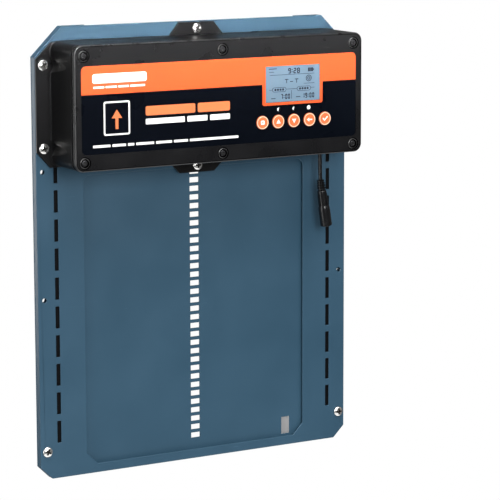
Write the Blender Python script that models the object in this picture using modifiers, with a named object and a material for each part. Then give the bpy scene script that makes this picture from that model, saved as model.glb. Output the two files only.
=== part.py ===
"""Automatic poultry house door: a sheet metal frame, a sliding door and a geared drive unit.

Units are metres. X runs along the width, +Y goes into the wall and +Z is up. The origin lies on the
wall face, at the middle of the sill strip. Heights named *_H are measured from the frame's lower edge.
"""

import math

import bmesh
import bpy
from mathutils import Matrix, Vector

# ---- driving dimensions -------------------------------------------------------------------------
GAP = 0.0003                # clearance between pieces that touch
SHEET = 0.0015              # sheet metal thickness
FRAME_W, FRAME_H, FRAME_D = 0.364, 0.466, 0.010
TOP_CHAMFER, BOTTOM_CHAMFER = 0.030, 0.013
SILL_H = 0.0098             # height of the strip below the doorway
BASE_Z = -SILL_H / 2        # the frame's lower edge
DOORWAY_HALF_W, DOORWAY_TOP_H = 0.1294, 0.313
DOORWAY_CHAMFER, DOORWAY_RADIUS = 0.012, 0.0075
REAR_OPENING_HALF_W = 0.1225

SLOT_COUNT, SLOT_PITCH, SLOT_FIRST_H = 10, 0.030, 0.0488
SLOT_W, SLOT_L, SLOT_X = 0.0043, 0.023, 0.1606
FIXING_X, FIXING_HEIGHTS = 0.175, (0.1876, 0.3195)
FRONT_FIXING_R, REAR_FIXING_R = 0.0024, 0.0042
SCREW_HOLE_R = 0.0023

DOOR_HALF_W, DOOR_BOTTOM_H, DOOR_TOP_H = 0.138, 0.003, 0.392
DOOR_Y = -0.00475           # middle of the door sheet
RACK_PITCH, RACK_FIRST_H, RACK_COUNT = 0.00916, 0.024, 40
RACK_SLOT_W, RACK_SLOT_H = 0.0107, 0.0057
MAGNET_X, MAGNET_H, MAGNET_W, MAGNET_L = 0.1104, 0.0208, 0.0094, 0.0184
MAGNET_RECESS = 0.0006

GUIDE_INNER_X, GUIDE_OUTER_X, GUIDE_TOP_H = 0.1312, 0.166, 0.448

HOUSING_HALF_W, HOUSING_BOTTOM_H, HOUSING_TOP_H = 0.166, 0.3253, 0.4513
HOUSING_RADIUS, HOUSING_WALL = 0.009, 0.0025
HOUSING_BACK_Y = -FRAME_D - GAP
HOUSING_RIM_Y = -0.0626
FLANGE_T = 0.0028
FLOOR_Y = HOUSING_BACK_Y - 0.0022
SIDE_SCREW_X, SIDE_SCREW_HEIGHTS = 0.1745, (0.3439, 0.4281)
SCALLOP_R, SCALLOP_TIP_R, SCALLOP_TIP_Y = 0.0115, 0.0070, -0.0700
LUG_SCREW_HEIGHTS = (0.3156, 0.4583)
LUG_HALF_W, LUG_BOTTOM_H, LUG_TOP_H, EAR_HEIGHTS = 0.0203, 0.3080, 0.4650, (0.3402, 0.4340)
BRIGHT_HEAD_R, BRIGHT_HEAD_H = 0.0054, 0.0026
CORNER_SCREW_H = 0.0292

COVER_BACK_Y, COVER_SKIN_Y, COVER_FACE_Y = -0.0646, -0.0672, -0.0700
COVER_SCREW_X, COVER_SCREW_HEIGHTS = (-0.1555, 0.0, 0.1555), (0.3342, 0.4405)
SOCKET_R, SOCKET_DEPTH, COVER_HEAD_R = 0.0064, 0.0016, 0.0030
GROOVE_INSET, GROOVE_W, GROOVE_DEPTH = 0.0013, 0.0006, 0.0007
LABEL_HALF_W, LABEL_BOTTOM_H, LABEL_TOP_H, LABEL_SPLIT_H = 0.1585, 0.3425, 0.4305, 0.4020
LABEL_RADIUS = 0.005
LABEL_FLOOR_Y, LABEL_BACK_Y, LABEL_FACE_Y = -0.0691, -0.0694, -0.0698
TAB_LEFT_X, TAB_RIGHT_X, TAB_BOTTOM_H, TAB_CHAMFER = 0.0463, 0.1181, 0.3800, 0.0015
LCD_LEFT_X, LCD_RIGHT_X, LCD_BOTTOM_H, LCD_TOP_H = 0.0503, 0.1147, 0.3830, 0.4202
BUTTON_NAMES = ("button_settings", "button_up", "button_down", "button_back", "button_confirm")
BUTTON_FIRST_X, BUTTON_PITCH, BUTTON_H = 0.0459, 0.0187, 0.3629
BUTTON_R, BUTTON_FLANGE_R, BUTTON_STEM_R = 0.0069, 0.0082, 0.0020
BUTTON_FRONT_Y, BUTTON_SEAT_Y = -0.0710, -0.0669
LIGHT_NAMES = ("status_led_left", "status_led_right", "light_sensor")
LIGHT_FIRST_X, LIGHT_PITCH, LIGHT_H, LIGHT_R = 0.0654, 0.0182, 0.3755, 0.0023
BOARD_BACK_Y, BOARD_FRONT_Y = -0.0556, -0.0572
CELL_R, CELL_L, CELL_PITCH, CELLS_MIDDLE_X = 0.0071, 0.0490, 0.0153, -0.085
HOLDER_HEIGHTS, HOLDER_DEPTH, HOLDER_WALL = (0.3585, 0.4150), 0.0120, 0.0015

PINION_TEETH = 12
PINION_R = PINION_TEETH * RACK_PITCH / (2 * math.pi)
GEAR_MODULE, GEAR_LARGE, GEAR_SMALL = 0.001, 18, 10
GEAR_CENTRES = GEAR_MODULE * (GEAR_LARGE + GEAR_SMALL) / 2
IDLER_LEAN, MOTOR_LEAN = math.radians(35), math.radians(17)
SHAFT_R, PIN_R, MOTOR_SHAFT_R, BUSH_R = 0.003, 0.002, 0.002, 0.0049
STAGE_1_X, STAGE_2_X = (0.0120, 0.0170), (0.0190, 0.0240)
CASE_X, LID_X, CASE_WALL = (0.0090, 0.0280), (0.0283, 0.0303), 0.0012
BLOCK_X = (-0.0150, -0.0090)
MOTOR_R, MOTOR_L = 0.0122, 0.0500

CORD_X, CORD_Y, CORD_R = 0.1389, -0.0300, 0.0021
CORD_POINTS = (                # height above the frame's lower edge, and drift to the right
    (0.3231, 0.0), (0.3170, 0.0), (0.3090, 0.0001), (0.3010, 0.0003), (0.2920, 0.0007))
JACK_TOP, JACK_BOTTOM = (0.1411, 0.2807), (0.1472, 0.2413)
SLEEVE_RIBS, SLEEVE_TIP_R, SLEEVE_BASE_R, RIB_DEPTH = 4, 0.0043, 0.0048, 0.0008


def up(height):
    """World Z of a height above the frame's lower edge."""
    return BASE_Z + height


# Places in Y and height of the shafts, which all lie along X.
PINION_AXIS = (DOOR_Y - PINION_R, RACK_FIRST_H + 37 * RACK_PITCH)
IDLER_AXIS = (PINION_AXIS[0] - GEAR_CENTRES * math.sin(IDLER_LEAN),
              PINION_AXIS[1] + GEAR_CENTRES * math.cos(IDLER_LEAN))
MOTOR_AXIS = (IDLER_AXIS[0] - GEAR_CENTRES * math.sin(MOTOR_LEAN),
              IDLER_AXIS[1] + GEAR_CENTRES * math.cos(MOTOR_LEAN))
DRIVE_WINDOW_H = (PINION_AXIS[1] - 0.0218, MOTOR_AXIS[1] + 0.0102)

# ---- scene, collections and materials -----------------------------------------------------------
for old in list(bpy.data.objects):
    bpy.data.objects.remove(old, do_unlink=True)

parts = bpy.data.collections.new("automatic_coop_door")
cutters = bpy.data.collections.new("cutters")
bpy.context.scene.collection.children.link(parts)
bpy.context.scene.collection.children.link(cutters)

COLOURS = {                    # base colour, roughness, metallic
    "painted_sheet": ((0.047, 0.098, 0.150), 0.42, 0.2),
    "housing_plastic": ((0.012, 0.012, 0.014), 0.45, 0.0),
    "guide_plastic": ((0.010, 0.010, 0.011), 0.60, 0.0),
    "rubber": ((0.010, 0.010, 0.010), 0.80, 0.0),
    "label_orange": ((1.0, 0.205, 0.053), 0.40, 0.0),
    "label_black": ((0.006, 0.006, 0.007), 0.30, 0.0),
    "button_orange": ((0.90, 0.170, 0.060), 0.45, 0.0),
    "lcd_clear": ((0.50, 0.60, 0.66), 0.10, 0.0),
    "lcd_grey": ((0.30, 0.42, 0.50), 0.30, 0.0),
    "light_pipe": ((0.70, 0.75, 0.80), 0.20, 0.0),
    "nickel": ((0.70, 0.70, 0.68), 0.25, 1.0),
    "black_steel": ((0.020, 0.020, 0.022), 0.35, 0.8),
    "magnet": ((0.62, 0.64, 0.66), 0.30, 0.9),
    "steel": ((0.45, 0.45, 0.46), 0.35, 1.0),
    "bronze": ((0.45, 0.28, 0.12), 0.40, 1.0),
    "acetal": ((0.80, 0.79, 0.74), 0.45, 0.0),
    "board_green": ((0.02, 0.13, 0.05), 0.45, 0.0),
    "battery": ((0.05, 0.10, 0.32), 0.35, 0.1),
}


def material(name):
    """The named Principled material, made on first use."""
    made = bpy.data.materials.get(name)
    if made is None:
        colour, roughness, metallic = COLOURS[name]
        made = bpy.data.materials.new(name)
        made.use_nodes = True
        shader = made.node_tree.nodes["Principled BSDF"]
        shader.inputs["Base Color"].default_value = (*colour, 1.0)
        shader.inputs["Roughness"].default_value = roughness
        shader.inputs["Metallic"].default_value = metallic
    return made


def add(name, mesh, finish, location=(0, 0, 0), rotation=(0, 0, 0)):
    """Puts a mesh in the parts collection, or with no finish in the cutters collection."""
    obj = bpy.data.objects.new(name, mesh)
    obj.location = location
    obj.rotation_euler = rotation
    if finish is None:
        cutters.objects.link(obj)
        obj.hide_render = True
        obj.display_type = "WIRE"
    else:
        parts.objects.link(obj)
        if not mesh.materials:
            mesh.materials.append(material(finish))
    return obj


# ---- shapes -------------------------------------------------------------------------------------
FACING_FRONT = (math.pi / 2, 0, 0)              # local Z to world -Y
ALONG_X = (math.pi / 2, 0, math.pi / 2)         # local X, Y, Z to world Y, Z, X


def shade(mesh, angle=35.0):
    """Smooth shading with sharp edges kept."""
    mesh.shade_smooth()
    mesh.set_sharp_from_angle(angle=math.radians(angle))


def boxes(name, spans, finish=None):
    """One mesh of boxes, each given by its lowest and highest corners."""
    bm = bmesh.new()
    for low, high in spans:
        low, high = Vector(low), Vector(high)
        size = Matrix.Diagonal((*(high - low), 1.0))
        bmesh.ops.create_cube(bm, size=1.0, matrix=Matrix.Translation((low + high) / 2) @ size)
    mesh = bpy.data.meshes.new(name)
    bm.to_mesh(mesh)
    bm.free()
    return add(name, mesh, finish)


def rods(name, centres, radius, low, high, axis="Y", sides=16, finish=None, front_radius=None):
    """One mesh of round rods along an axis, between two places on it. Centres are in the other two axes.

    A rod along Y tapers from radius at its back to front_radius, where one is given.
    """
    turn = {"X": Matrix.Rotation(math.pi / 2, 4, "Y"), "Y": Matrix.Rotation(math.pi / 2, 4, "X"),
            "Z": Matrix.Identity(4)}[axis]
    bm = bmesh.new()
    for a, b in centres:
        middle = (low + high) / 2
        place = {"X": (middle, a, b), "Y": (a, middle, b), "Z": (a, b, middle)}[axis]
        bmesh.ops.create_cone(bm, cap_ends=True, segments=sides, radius1=radius,
                              radius2=front_radius or radius, depth=high - low,
                              matrix=Matrix.Translation(place) @ turn)
    mesh = bpy.data.meshes.new(name)
    bm.to_mesh(mesh)
    bm.free()
    shade(mesh)
    return add(name, mesh, finish)


def prism(name, loops, low, high, finish=None, rotation=FACING_FRONT, origin=(0, 0, 0)):
    """A flat outline with any holes, between two places along its own normal, as a welded mesh."""
    curve = bpy.data.curves.new(name, "CURVE")
    curve.dimensions = "2D"
    curve.fill_mode = "BOTH"
    curve.extrude = (high - low) / 2
    for loop in loops:
        spline = curve.splines.new("POLY")
        spline.points.add(len(loop) - 1)
        for point, (x, y) in zip(spline.points, loop):
            point.co = (x, y, 0.0, 1.0)
        spline.use_cyclic_u = True
    flat = bpy.data.objects.new(name + "_outline", curve)
    cutters.objects.link(flat)
    bpy.context.view_layer.update()
    mesh = bpy.data.meshes.new_from_object(flat.evaluated_get(bpy.context.evaluated_depsgraph_get()))
    bpy.data.objects.remove(flat)
    bm = bmesh.new()
    bm.from_mesh(mesh)
    bmesh.ops.remove_doubles(bm, verts=bm.verts, dist=1e-6)
    bmesh.ops.translate(bm, verts=bm.verts, vec=(0, 0, (low + high) / 2))
    bmesh.ops.recalc_face_normals(bm, faces=bm.faces)
    bm.to_mesh(mesh)
    bm.free()
    mesh.materials.clear()
    shade(mesh)
    return add(name, mesh, finish, origin, rotation)


def plate(name, loops, front_y, back_y, finish=None):
    """A prism whose outline lies in XZ, between two places in Y."""
    return prism(name, loops, -back_y, -front_y, finish)


def turned(name, profile, finish, location=(0, 0, 0), rotation=(0, 0, 0), sides=16, closed=False):
    """A solid of revolution about local Z. The profile runs down its outer side as (radius, height)."""
    bm = bmesh.new()
    points = [bm.verts.new((radius, 0.0, height)) for radius, height in profile]
    for first, second in zip(points, points[1:]):
        bm.edges.new((first, second))
    if closed:
        bm.edges.new((points[-1], points[0]))
    mesh = bpy.data.meshes.new(name)
    bm.to_mesh(mesh)
    bm.free()
    obj = add(name, mesh, finish, location, rotation)
    screw = obj.modifiers.new("turn", "SCREW")
    screw.steps = sides
    screw.render_steps = sides
    screw.use_merge_vertices = True
    screw.merge_threshold = 1e-5
    screw.use_smooth_shade = True
    obj.modifiers.new("flat_faces_stay_flat", "WEIGHTED_NORMAL")
    return obj


def boolean(target, tool, operation="DIFFERENCE"):
    """Cuts a tool out of a piece, or joins it on."""
    modifier = target.modifiers.new(tool.name, "BOOLEAN")
    modifier.object = tool
    modifier.operation = operation
    modifier.solver = "EXACT"


def baked(obj):
    """The mesh of an object with its modifiers applied. The object is removed."""
    bpy.context.view_layer.update()
    mesh = bpy.data.meshes.new_from_object(obj.evaluated_get(bpy.context.evaluated_depsgraph_get()))
    bpy.data.objects.remove(obj)
    return mesh


# ---- outlines -----------------------------------------------------------------------------------
def arc(cx, cy, radius, start, end, steps):
    """Points along an arc, angles in degrees."""
    angles = [math.radians(start + (end - start) * i / steps) for i in range(steps + 1)]
    return [(cx + radius * math.cos(a), cy + radius * math.sin(a)) for a in angles]


def rounded(x0, z0, x1, z1, radius, steps=3):
    """A rounded rectangle, anticlockwise."""
    return (arc(x1 - radius, z0 + radius, radius, -90, 0, steps)
            + arc(x1 - radius, z1 - radius, radius, 0, 90, steps)
            + arc(x0 + radius, z1 - radius, radius, 90, 180, steps)
            + arc(x0 + radius, z0 + radius, radius, 180, 270, steps))


def circle(cx, cy, radius, steps=16):
    """A closed ring of points."""
    return arc(cx, cy, radius, 0, 360 - 360 / steps, steps - 1)


def frame_outline(inset):
    """The frame's outline with its four chamfered corners, moved inwards by inset."""
    side = FRAME_W / 2 - inset
    low, high = up(inset), up(FRAME_H - inset)
    slack = inset * (2 - math.sqrt(2))
    top, bottom = TOP_CHAMFER - slack, BOTTOM_CHAMFER - slack
    return [(bottom - side, low), (side - bottom, low), (side, low + bottom), (side, high - top),
            (side - top, high), (top - side, high), (-side, high - top), (-side, low + bottom)]


def mirrored(half):
    """A right half outline, bottom to top, closed by its mirror image."""
    return half + [(-x, z) for x, z in reversed(half)]


def gear_outline(teeth, phase, addendum=0.9, dedendum=1.25, backlash=0.16):
    """An involute spur gear with a tooth centred on the phase angle."""
    pitch_r = GEAR_MODULE * teeth / 2
    pressure = math.radians(20)
    base_r = pitch_r * math.cos(pressure)
    tip_r = pitch_r + addendum * GEAR_MODULE
    root_r = pitch_r - dedendum * GEAR_MODULE

    def half_angle(radius):
        at = math.acos(min(1.0, base_r / radius))
        return (math.pi / 2 / teeth - backlash * GEAR_MODULE / 2 / pitch_r
                + math.tan(pressure) - pressure - math.tan(at) + at)

    flank = [(root_r, half_angle(base_r) * 0.9), (pitch_r, half_angle(pitch_r)),
             (tip_r, half_angle(tip_r))]
    points = []
    for tooth in range(teeth):
        centre = phase + 2 * math.pi * tooth / teeth
        for radius, half in flank:
            points.append((radius * math.cos(centre - half), radius * math.sin(centre - half)))
        for radius, half in reversed(flank):
            points.append((radius * math.cos(centre + half), radius * math.sin(centre + half)))
    return points


def pinion_outline():
    """A sprocket whose teeth pass through the door's slots, one tooth facing +Y."""
    levels = ((PINION_R - 0.0022, 0.0021), (PINION_R, 0.0017), (PINION_R + 0.0016, 0.0009))
    points = []
    for tooth in range(PINION_TEETH):
        centre = 2 * math.pi * tooth / PINION_TEETH
        across = [(r, -half) for r, half in levels] + [(r, half) for r, half in reversed(levels)]
        for along, side in across:
            points.append((along * math.cos(centre) - side * math.sin(centre),
                           along * math.sin(centre) + side * math.cos(centre)))
    return points


# ---- frame and door -----------------------------------------------------------------------------
def fixing_holes(name, radius, front_y, back_y):
    """The four wall fixing holes in one of the two sheets."""
    centres = [(side * FIXING_X, up(h)) for side in (-1, 1) for h in FIXING_HEIGHTS]
    return rods(name, centres, radius, front_y, back_y, sides=12)


def build_front_plate():
    """The folded front sheet, with its doorway, side slots and screw holes."""
    inner_y = -FRAME_D + SHEET
    obj = plate("front_plate", [frame_outline(0)], -FRAME_D, -SHEET - GAP, "painted_sheet")
    boolean(obj, plate("fold_inside", [frame_outline(SHEET)], inner_y, 0.001))
    top = up(FRAME_H)
    door_half = DOOR_HALF_W + 0.0015
    boolean(obj, boxes("door_exit", [((-door_half, inner_y, top - 0.005), (door_half, 0.001, top + 0.005))]))
    low, high = up(SILL_H), up(DOORWAY_TOP_H)
    tab_low = up(LUG_SCREW_HEIGHTS[0] - 0.0054)
    half = [(DOORWAY_HALF_W - DOORWAY_CHAMFER, low), (DOORWAY_HALF_W, low + DOORWAY_CHAMFER)]
    half += arc(DOORWAY_HALF_W - DOORWAY_RADIUS, high - DOORWAY_RADIUS, DOORWAY_RADIUS, 0, 90, 4)
    half += [(0.024, high), (0.019, tab_low)]
    boolean(obj, plate("doorway", [mirrored(half)], -0.012, -0.006))
    slots = []
    for side in (-1, 1):
        for row in range(SLOT_COUNT):
            x, z = side * SLOT_X, up(SLOT_FIRST_H + row * SLOT_PITCH)
            slots.append(((x - SLOT_W / 2, -0.012, z - SLOT_L / 2),
                          (x + SLOT_W / 2, -0.007, z + SLOT_L / 2)))
    boolean(obj, boxes("side_slots", slots))
    boolean(obj, fixing_holes("front_fixing_holes", FRONT_FIXING_R, -0.012, -0.007))
    screws = [(0.0, up(h)) for h in LUG_SCREW_HEIGHTS]
    side_heights = (CORNER_SCREW_H, *SIDE_SCREW_HEIGHTS)
    screws += [(side * SIDE_SCREW_X, up(h)) for side in (-1, 1) for h in side_heights]
    boolean(obj, rods("front_screw_holes", screws, SCREW_HOLE_R, -0.012, -0.007, sides=12))
    axis = up(PINION_AXIS[1])
    boolean(obj, boxes("pinion_window", [((-0.007, -0.012, axis - 0.0175), (0.007, -0.007, axis + 0.0175))]))
    return obj


def build_rear_frame():
    """The flat U-shaped sheet that lies on the wall."""
    obj = plate("rear_frame", [frame_outline(0)], -SHEET, 0.0, "painted_sheet")
    half = REAR_OPENING_HALF_W
    boolean(obj, boxes("rear_opening", [((-half, -0.004, up(SILL_H)), (half, 0.002, up(FRAME_H + 0.01)))]))
    boolean(obj, fixing_holes("rear_fixing_holes", REAR_FIXING_R, -0.004, 0.002))
    corners = [(side * SIDE_SCREW_X, up(CORNER_SCREW_H)) for side in (-1, 1)]
    boolean(obj, rods("rear_screw_holes", corners, SCREW_HOLE_R, -0.004, 0.002, sides=12))
    return obj


def build_guides():
    """The two plastic channels that the door's edges run in."""
    front_y, back_y = -FRAME_D + SHEET + GAP, -SHEET - GAP
    for name, side in (("left_guide", -1), ("right_guide", 1)):
        xs = sorted((side * GUIDE_INNER_X, side * GUIDE_OUTER_X))
        obj = boxes(name, [((xs[0], front_y, up(0.002)), (xs[1], back_y, up(GUIDE_TOP_H)))], "guide_plastic")
        groove = sorted((side * (GUIDE_INNER_X - 0.002), side * (DOOR_HALF_W + 0.0007)))
        half = SHEET / 2 + 0.00035
        boolean(obj, boxes(name + "_groove", [((groove[0], DOOR_Y - half, up(0.0)),
                                               (groove[1], DOOR_Y + half, up(GUIDE_TOP_H + 0.01)))]))


def build_door():
    """The sliding panel with its rack of slots, and the magnet let into it."""
    front_y, back_y = DOOR_Y - SHEET / 2, DOOR_Y + SHEET / 2
    low, high, corner = up(DOOR_BOTTOM_H), up(DOOR_TOP_H), 0.010
    half = [(DOOR_HALF_W, low), (DOOR_HALF_W, high - corner), (DOOR_HALF_W - corner, high)]
    obj = plate("door_panel", [mirrored(half)], front_y, back_y, "painted_sheet")
    rack = []
    for row in range(RACK_COUNT):
        z = up(RACK_FIRST_H + row * RACK_PITCH)
        rack.append(((-RACK_SLOT_W / 2, front_y - 0.001, z - RACK_SLOT_H / 2),
                     (RACK_SLOT_W / 2, back_y + 0.001, z + RACK_SLOT_H / 2)))
    boolean(obj, boxes("rack_slots", rack))
    x, z = MAGNET_W / 2, MAGNET_L / 2
    spot = Vector((MAGNET_X, 0, up(MAGNET_H)))
    room = Vector((x + GAP, 0, z + GAP))
    boolean(obj, boxes("magnet_window", [(spot - room + Vector((0, front_y - 0.001, 0)),
                                          spot + room + Vector((0, back_y + 0.001, 0)))]))
    boxes("door_magnet", [((MAGNET_X - x, front_y + MAGNET_RECESS, spot.z - z),
                           (MAGNET_X + x, back_y, spot.z + z))], "magnet")


# ---- housing ------------------------------------------------------------------------------------
def housing_outline(inset):
    """The housing's rounded outline, moved inwards by inset."""
    return rounded(inset - HOUSING_HALF_W, up(HOUSING_BOTTOM_H + inset), HOUSING_HALF_W - inset,
                   up(HOUSING_TOP_H - inset), HOUSING_RADIUS - inset * 0.7)


def build_housing_base():
    """The open-fronted box with its ears, lugs, scalloped sides and screw posts."""
    flange_y = HOUSING_BACK_Y - FLANGE_T
    box_back_y = HOUSING_BACK_Y - FLANGE_T / 2
    obj = plate("housing_base", [housing_outline(0)], HOUSING_RIM_Y, box_back_y, "housing_plastic")
    sides = [(side * SIDE_SCREW_X, up(h)) for side in (-1, 1) for h in SIDE_SCREW_HEIGHTS]
    ear_x, top_z, low_z = FRAME_W / 2, up(HOUSING_TOP_H - 0.0005), up(HOUSING_BOTTOM_H - 0.0013)
    half = [(LUG_HALF_W, up(LUG_BOTTOM_H)), (0.0360, low_z - 0.0003), (0.1673, low_z),
            (ear_x, up(EAR_HEIGHTS[0])), (ear_x, up(EAR_HEIGHTS[1])), (0.1646, top_z),
            (0.0320, top_z + 0.0002), (LUG_HALF_W, up(LUG_TOP_H))]
    boolean(obj, plate("housing_flange", [mirrored(half)], flange_y, HOUSING_BACK_Y), "UNION")
    boolean(obj, rods("scallops", sides, SCALLOP_R, SCALLOP_TIP_Y, flange_y - 0.0001, sides=24,
                      front_radius=SCALLOP_TIP_R))
    cavity = plate("housing_cavity", [housing_outline(HOUSING_WALL)], HOUSING_RIM_Y - 0.002, FLOOR_Y)
    boolean(cavity, rods("scallop_walls", sides, SCALLOP_R + HOUSING_WALL, SCALLOP_TIP_Y, flange_y + 0.004,
                         sides=24, front_radius=SCALLOP_TIP_R + HOUSING_WALL))
    boolean(obj, cavity)
    posts = [(x, up(h)) for x in COVER_SCREW_X for h in COVER_SCREW_HEIGHTS]
    post_y = COVER_SKIN_Y + GAP
    boolean(obj, rods("screw_posts", posts, 0.0045, post_y, FLOOR_Y + 0.0005, sides=12), "UNION")
    boolean(obj, rods("post_holes", posts, 0.0018, post_y - 0.002, -0.0480, sides=12))
    window = ((-0.008, -0.014, up(DRIVE_WINDOW_H[0])), (0.0328, -0.009, up(DRIVE_WINDOW_H[1])))
    boolean(obj, boxes("drive_window", [window]))
    holes = sides + [(0.0, up(h)) for h in LUG_SCREW_HEIGHTS]
    boolean(obj, rods("flange_holes", holes, SCREW_HOLE_R, -0.016, -0.009, sides=12))
    bottom = up(HOUSING_BOTTOM_H)
    boolean(obj, rods("lead_hole", [(CORD_X, CORD_Y)], 0.0045, bottom - 0.002, bottom + 0.005, "Z", 16))
    return obj


def build_gasket():
    """The sealing ring between the housing's rim and the cover."""
    loops = [housing_outline(0.0012), list(reversed(housing_outline(0.0027)))]
    return plate("housing_gasket", loops, COVER_BACK_Y + GAP, HOUSING_RIM_Y - GAP, "rubber")


def control_places():
    """The centres of the buttons and of the small round windows."""
    buttons = [(BUTTON_FIRST_X + i * BUTTON_PITCH, up(BUTTON_H)) for i in range(len(BUTTON_NAMES))]
    lights = [(LIGHT_FIRST_X + i * LIGHT_PITCH, up(LIGHT_H)) for i in range(len(LIGHT_NAMES))]
    return buttons, lights


def display_hole():
    """The outline of the display's opening."""
    return rounded(LCD_LEFT_X - GAP, up(LCD_BOTTOM_H - GAP), LCD_RIGHT_X + GAP, up(LCD_TOP_H + GAP),
                   0.0003, 1)


def control_holes():
    """The outlines of the holes that the buttons and the small round windows come through."""
    buttons, lights = control_places()
    return ([circle(*centre, BUTTON_R + GAP, 20) for centre in buttons]
            + [circle(*centre, LIGHT_R + GAP, 12) for centre in lights])


def build_cover():
    """The front cover, with its rim groove, label recess, screw sockets and openings."""
    obj = plate("front_cover", [housing_outline(0)], COVER_FACE_Y, COVER_BACK_Y, "housing_plastic")
    boolean(obj, plate("cover_inside", [housing_outline(HOUSING_WALL)], COVER_SKIN_Y, COVER_BACK_Y + 0.002))
    groove = [housing_outline(GROOVE_INSET), list(reversed(housing_outline(GROOVE_INSET + GROOVE_W)))]
    boolean(obj, plate("rim_groove", groove, COVER_FACE_Y - 0.001, COVER_FACE_Y + GROOVE_DEPTH))
    edge = LABEL_HALF_W + GAP
    recess = rounded(-edge, up(LABEL_BOTTOM_H - GAP), edge, up(LABEL_TOP_H + GAP), LABEL_RADIUS)
    boolean(obj, plate("label_recess", [recess], COVER_FACE_Y - 0.001, LABEL_FLOOR_Y))
    through = COVER_FACE_Y - 0.001, COVER_SKIN_Y + 0.001
    boolean(obj, plate("cover_openings", [display_hole(), *control_holes()], *through))
    screws = [(x, up(h)) for x in COVER_SCREW_X for h in COVER_SCREW_HEIGHTS]
    boolean(obj, rods("screw_sockets", screws, SOCKET_R, through[0], COVER_FACE_Y + SOCKET_DEPTH))
    boolean(obj, rods("cover_screw_holes", screws, 0.0019, *through, sides=12))
    return obj


def build_labels():
    """The two colours of the face label, the upper one reaching down round the display."""
    left, right, tab = -LABEL_HALF_W, LABEL_HALF_W, TAB_CHAMFER
    low, high, split = up(LABEL_BOTTOM_H), up(LABEL_TOP_H), up(LABEL_SPLIT_H)
    tab_low = up(TAB_BOTTOM_H)
    r = LABEL_RADIUS
    upper = [(left, split), (TAB_LEFT_X, split), (TAB_LEFT_X, tab_low + tab), (TAB_LEFT_X + tab, tab_low),
             (TAB_RIGHT_X - tab, tab_low), (TAB_RIGHT_X, tab_low + tab), (TAB_RIGHT_X, split),
             (right, split)]
    upper += arc(right - r, high - r, r, 0, 90, 4) + arc(left + r, high - r, r, 90, 180, 4)
    plate("label_upper", [upper, list(reversed(display_hole()))], LABEL_FACE_Y, LABEL_BACK_Y, "label_orange")
    g = GAP
    lower = arc(left + r, low + r, r, 180, 270, 4) + arc(right - r, low + r, r, 270, 360, 4)
    lower += [(right, split - g), (TAB_RIGHT_X + g, split - g), (TAB_RIGHT_X + g, tab_low + tab),
              (TAB_RIGHT_X - tab, tab_low - g), (TAB_LEFT_X + tab, tab_low - g),
              (TAB_LEFT_X - g, tab_low + tab), (TAB_LEFT_X - g, split - g), (left, split - g)]
    plate("label_lower", [lower, *(list(reversed(hole)) for hole in control_holes())],
          LABEL_FACE_Y, LABEL_BACK_Y, "label_black")


# ---- controls and electronics -------------------------------------------------------------------
def build_controls():
    """Button caps, light pipes, the display and the board behind them."""
    buttons, lights = control_places()
    front = BUTTON_SEAT_Y - BUTTON_FRONT_Y
    cap = [(0, front), (BUTTON_R - 0.0005, front), (BUTTON_R, front - 0.0005), (BUTTON_R, 0.0),
           (BUTTON_FLANGE_R, 0.0), (BUTTON_FLANGE_R, -0.0011), (BUTTON_STEM_R, -0.0011),
           (BUTTON_STEM_R, -0.0047), (0, -0.0047)]
    for name, (x, z) in zip(BUTTON_NAMES, buttons):
        turned(name, cap, "button_orange", (x, BUTTON_SEAT_Y, z), FACING_FRONT, 20)
    pipe = [(0, 0.0), (LIGHT_R, 0.0), (LIGHT_R, -0.0032), (0.0032, -0.0032), (0.0032, -0.0042), (0, -0.0042)]
    for name, (x, z) in zip(LIGHT_NAMES, lights):
        turned(name, pipe, "light_pipe", (x, COVER_FACE_Y + 0.0001, z), FACING_FRONT, 10)
    boxes("lcd_window", [((LCD_LEFT_X, LABEL_FACE_Y, up(LCD_BOTTOM_H)),
                          (LCD_RIGHT_X, COVER_SKIN_Y - 0.0002, up(LCD_TOP_H)))], "lcd_clear")
    boxes("lcd_module", [((LCD_LEFT_X - 0.003, COVER_SKIN_Y + GAP, up(LCD_BOTTOM_H - 0.0015)),
                          (LCD_RIGHT_X + 0.003, BOARD_FRONT_Y - GAP, up(LCD_TOP_H + 0.006)))], "lcd_grey")
    board = boxes("control_board", [((0.024, BOARD_FRONT_Y, up(0.346)), (0.146, BOARD_BACK_Y, up(0.432)))],
                  "board_green")
    front, back = BOARD_FRONT_Y + 0.0002, BOARD_BACK_Y - 0.0002
    parts_on_board = [((x - 0.003, front - 0.0035, z - 0.003), (x + 0.003, front, z + 0.003))
                      for x, z in buttons]
    parts_on_board += [((0.040, back, up(0.392)), (0.054, back + 0.002, up(0.406))),
                       ((0.100, back, up(0.362)), (0.119, back + 0.010, up(0.377))),
                       ((0.110, back, up(0.395)), (0.118, back + 0.006, up(0.420))),
                       ((0.028, back, up(0.352)), (0.046, back + 0.008, up(0.360)))]
    boolean(board, boxes("board_components", parts_on_board), "UNION")
    boxes("open_position_sensor", [((MAGNET_X - 0.004, FLOOR_Y - 0.0040, up(0.3290)),
                                    (MAGNET_X + 0.004, FLOOR_Y - GAP, up(0.3370)))], "label_black")


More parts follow.
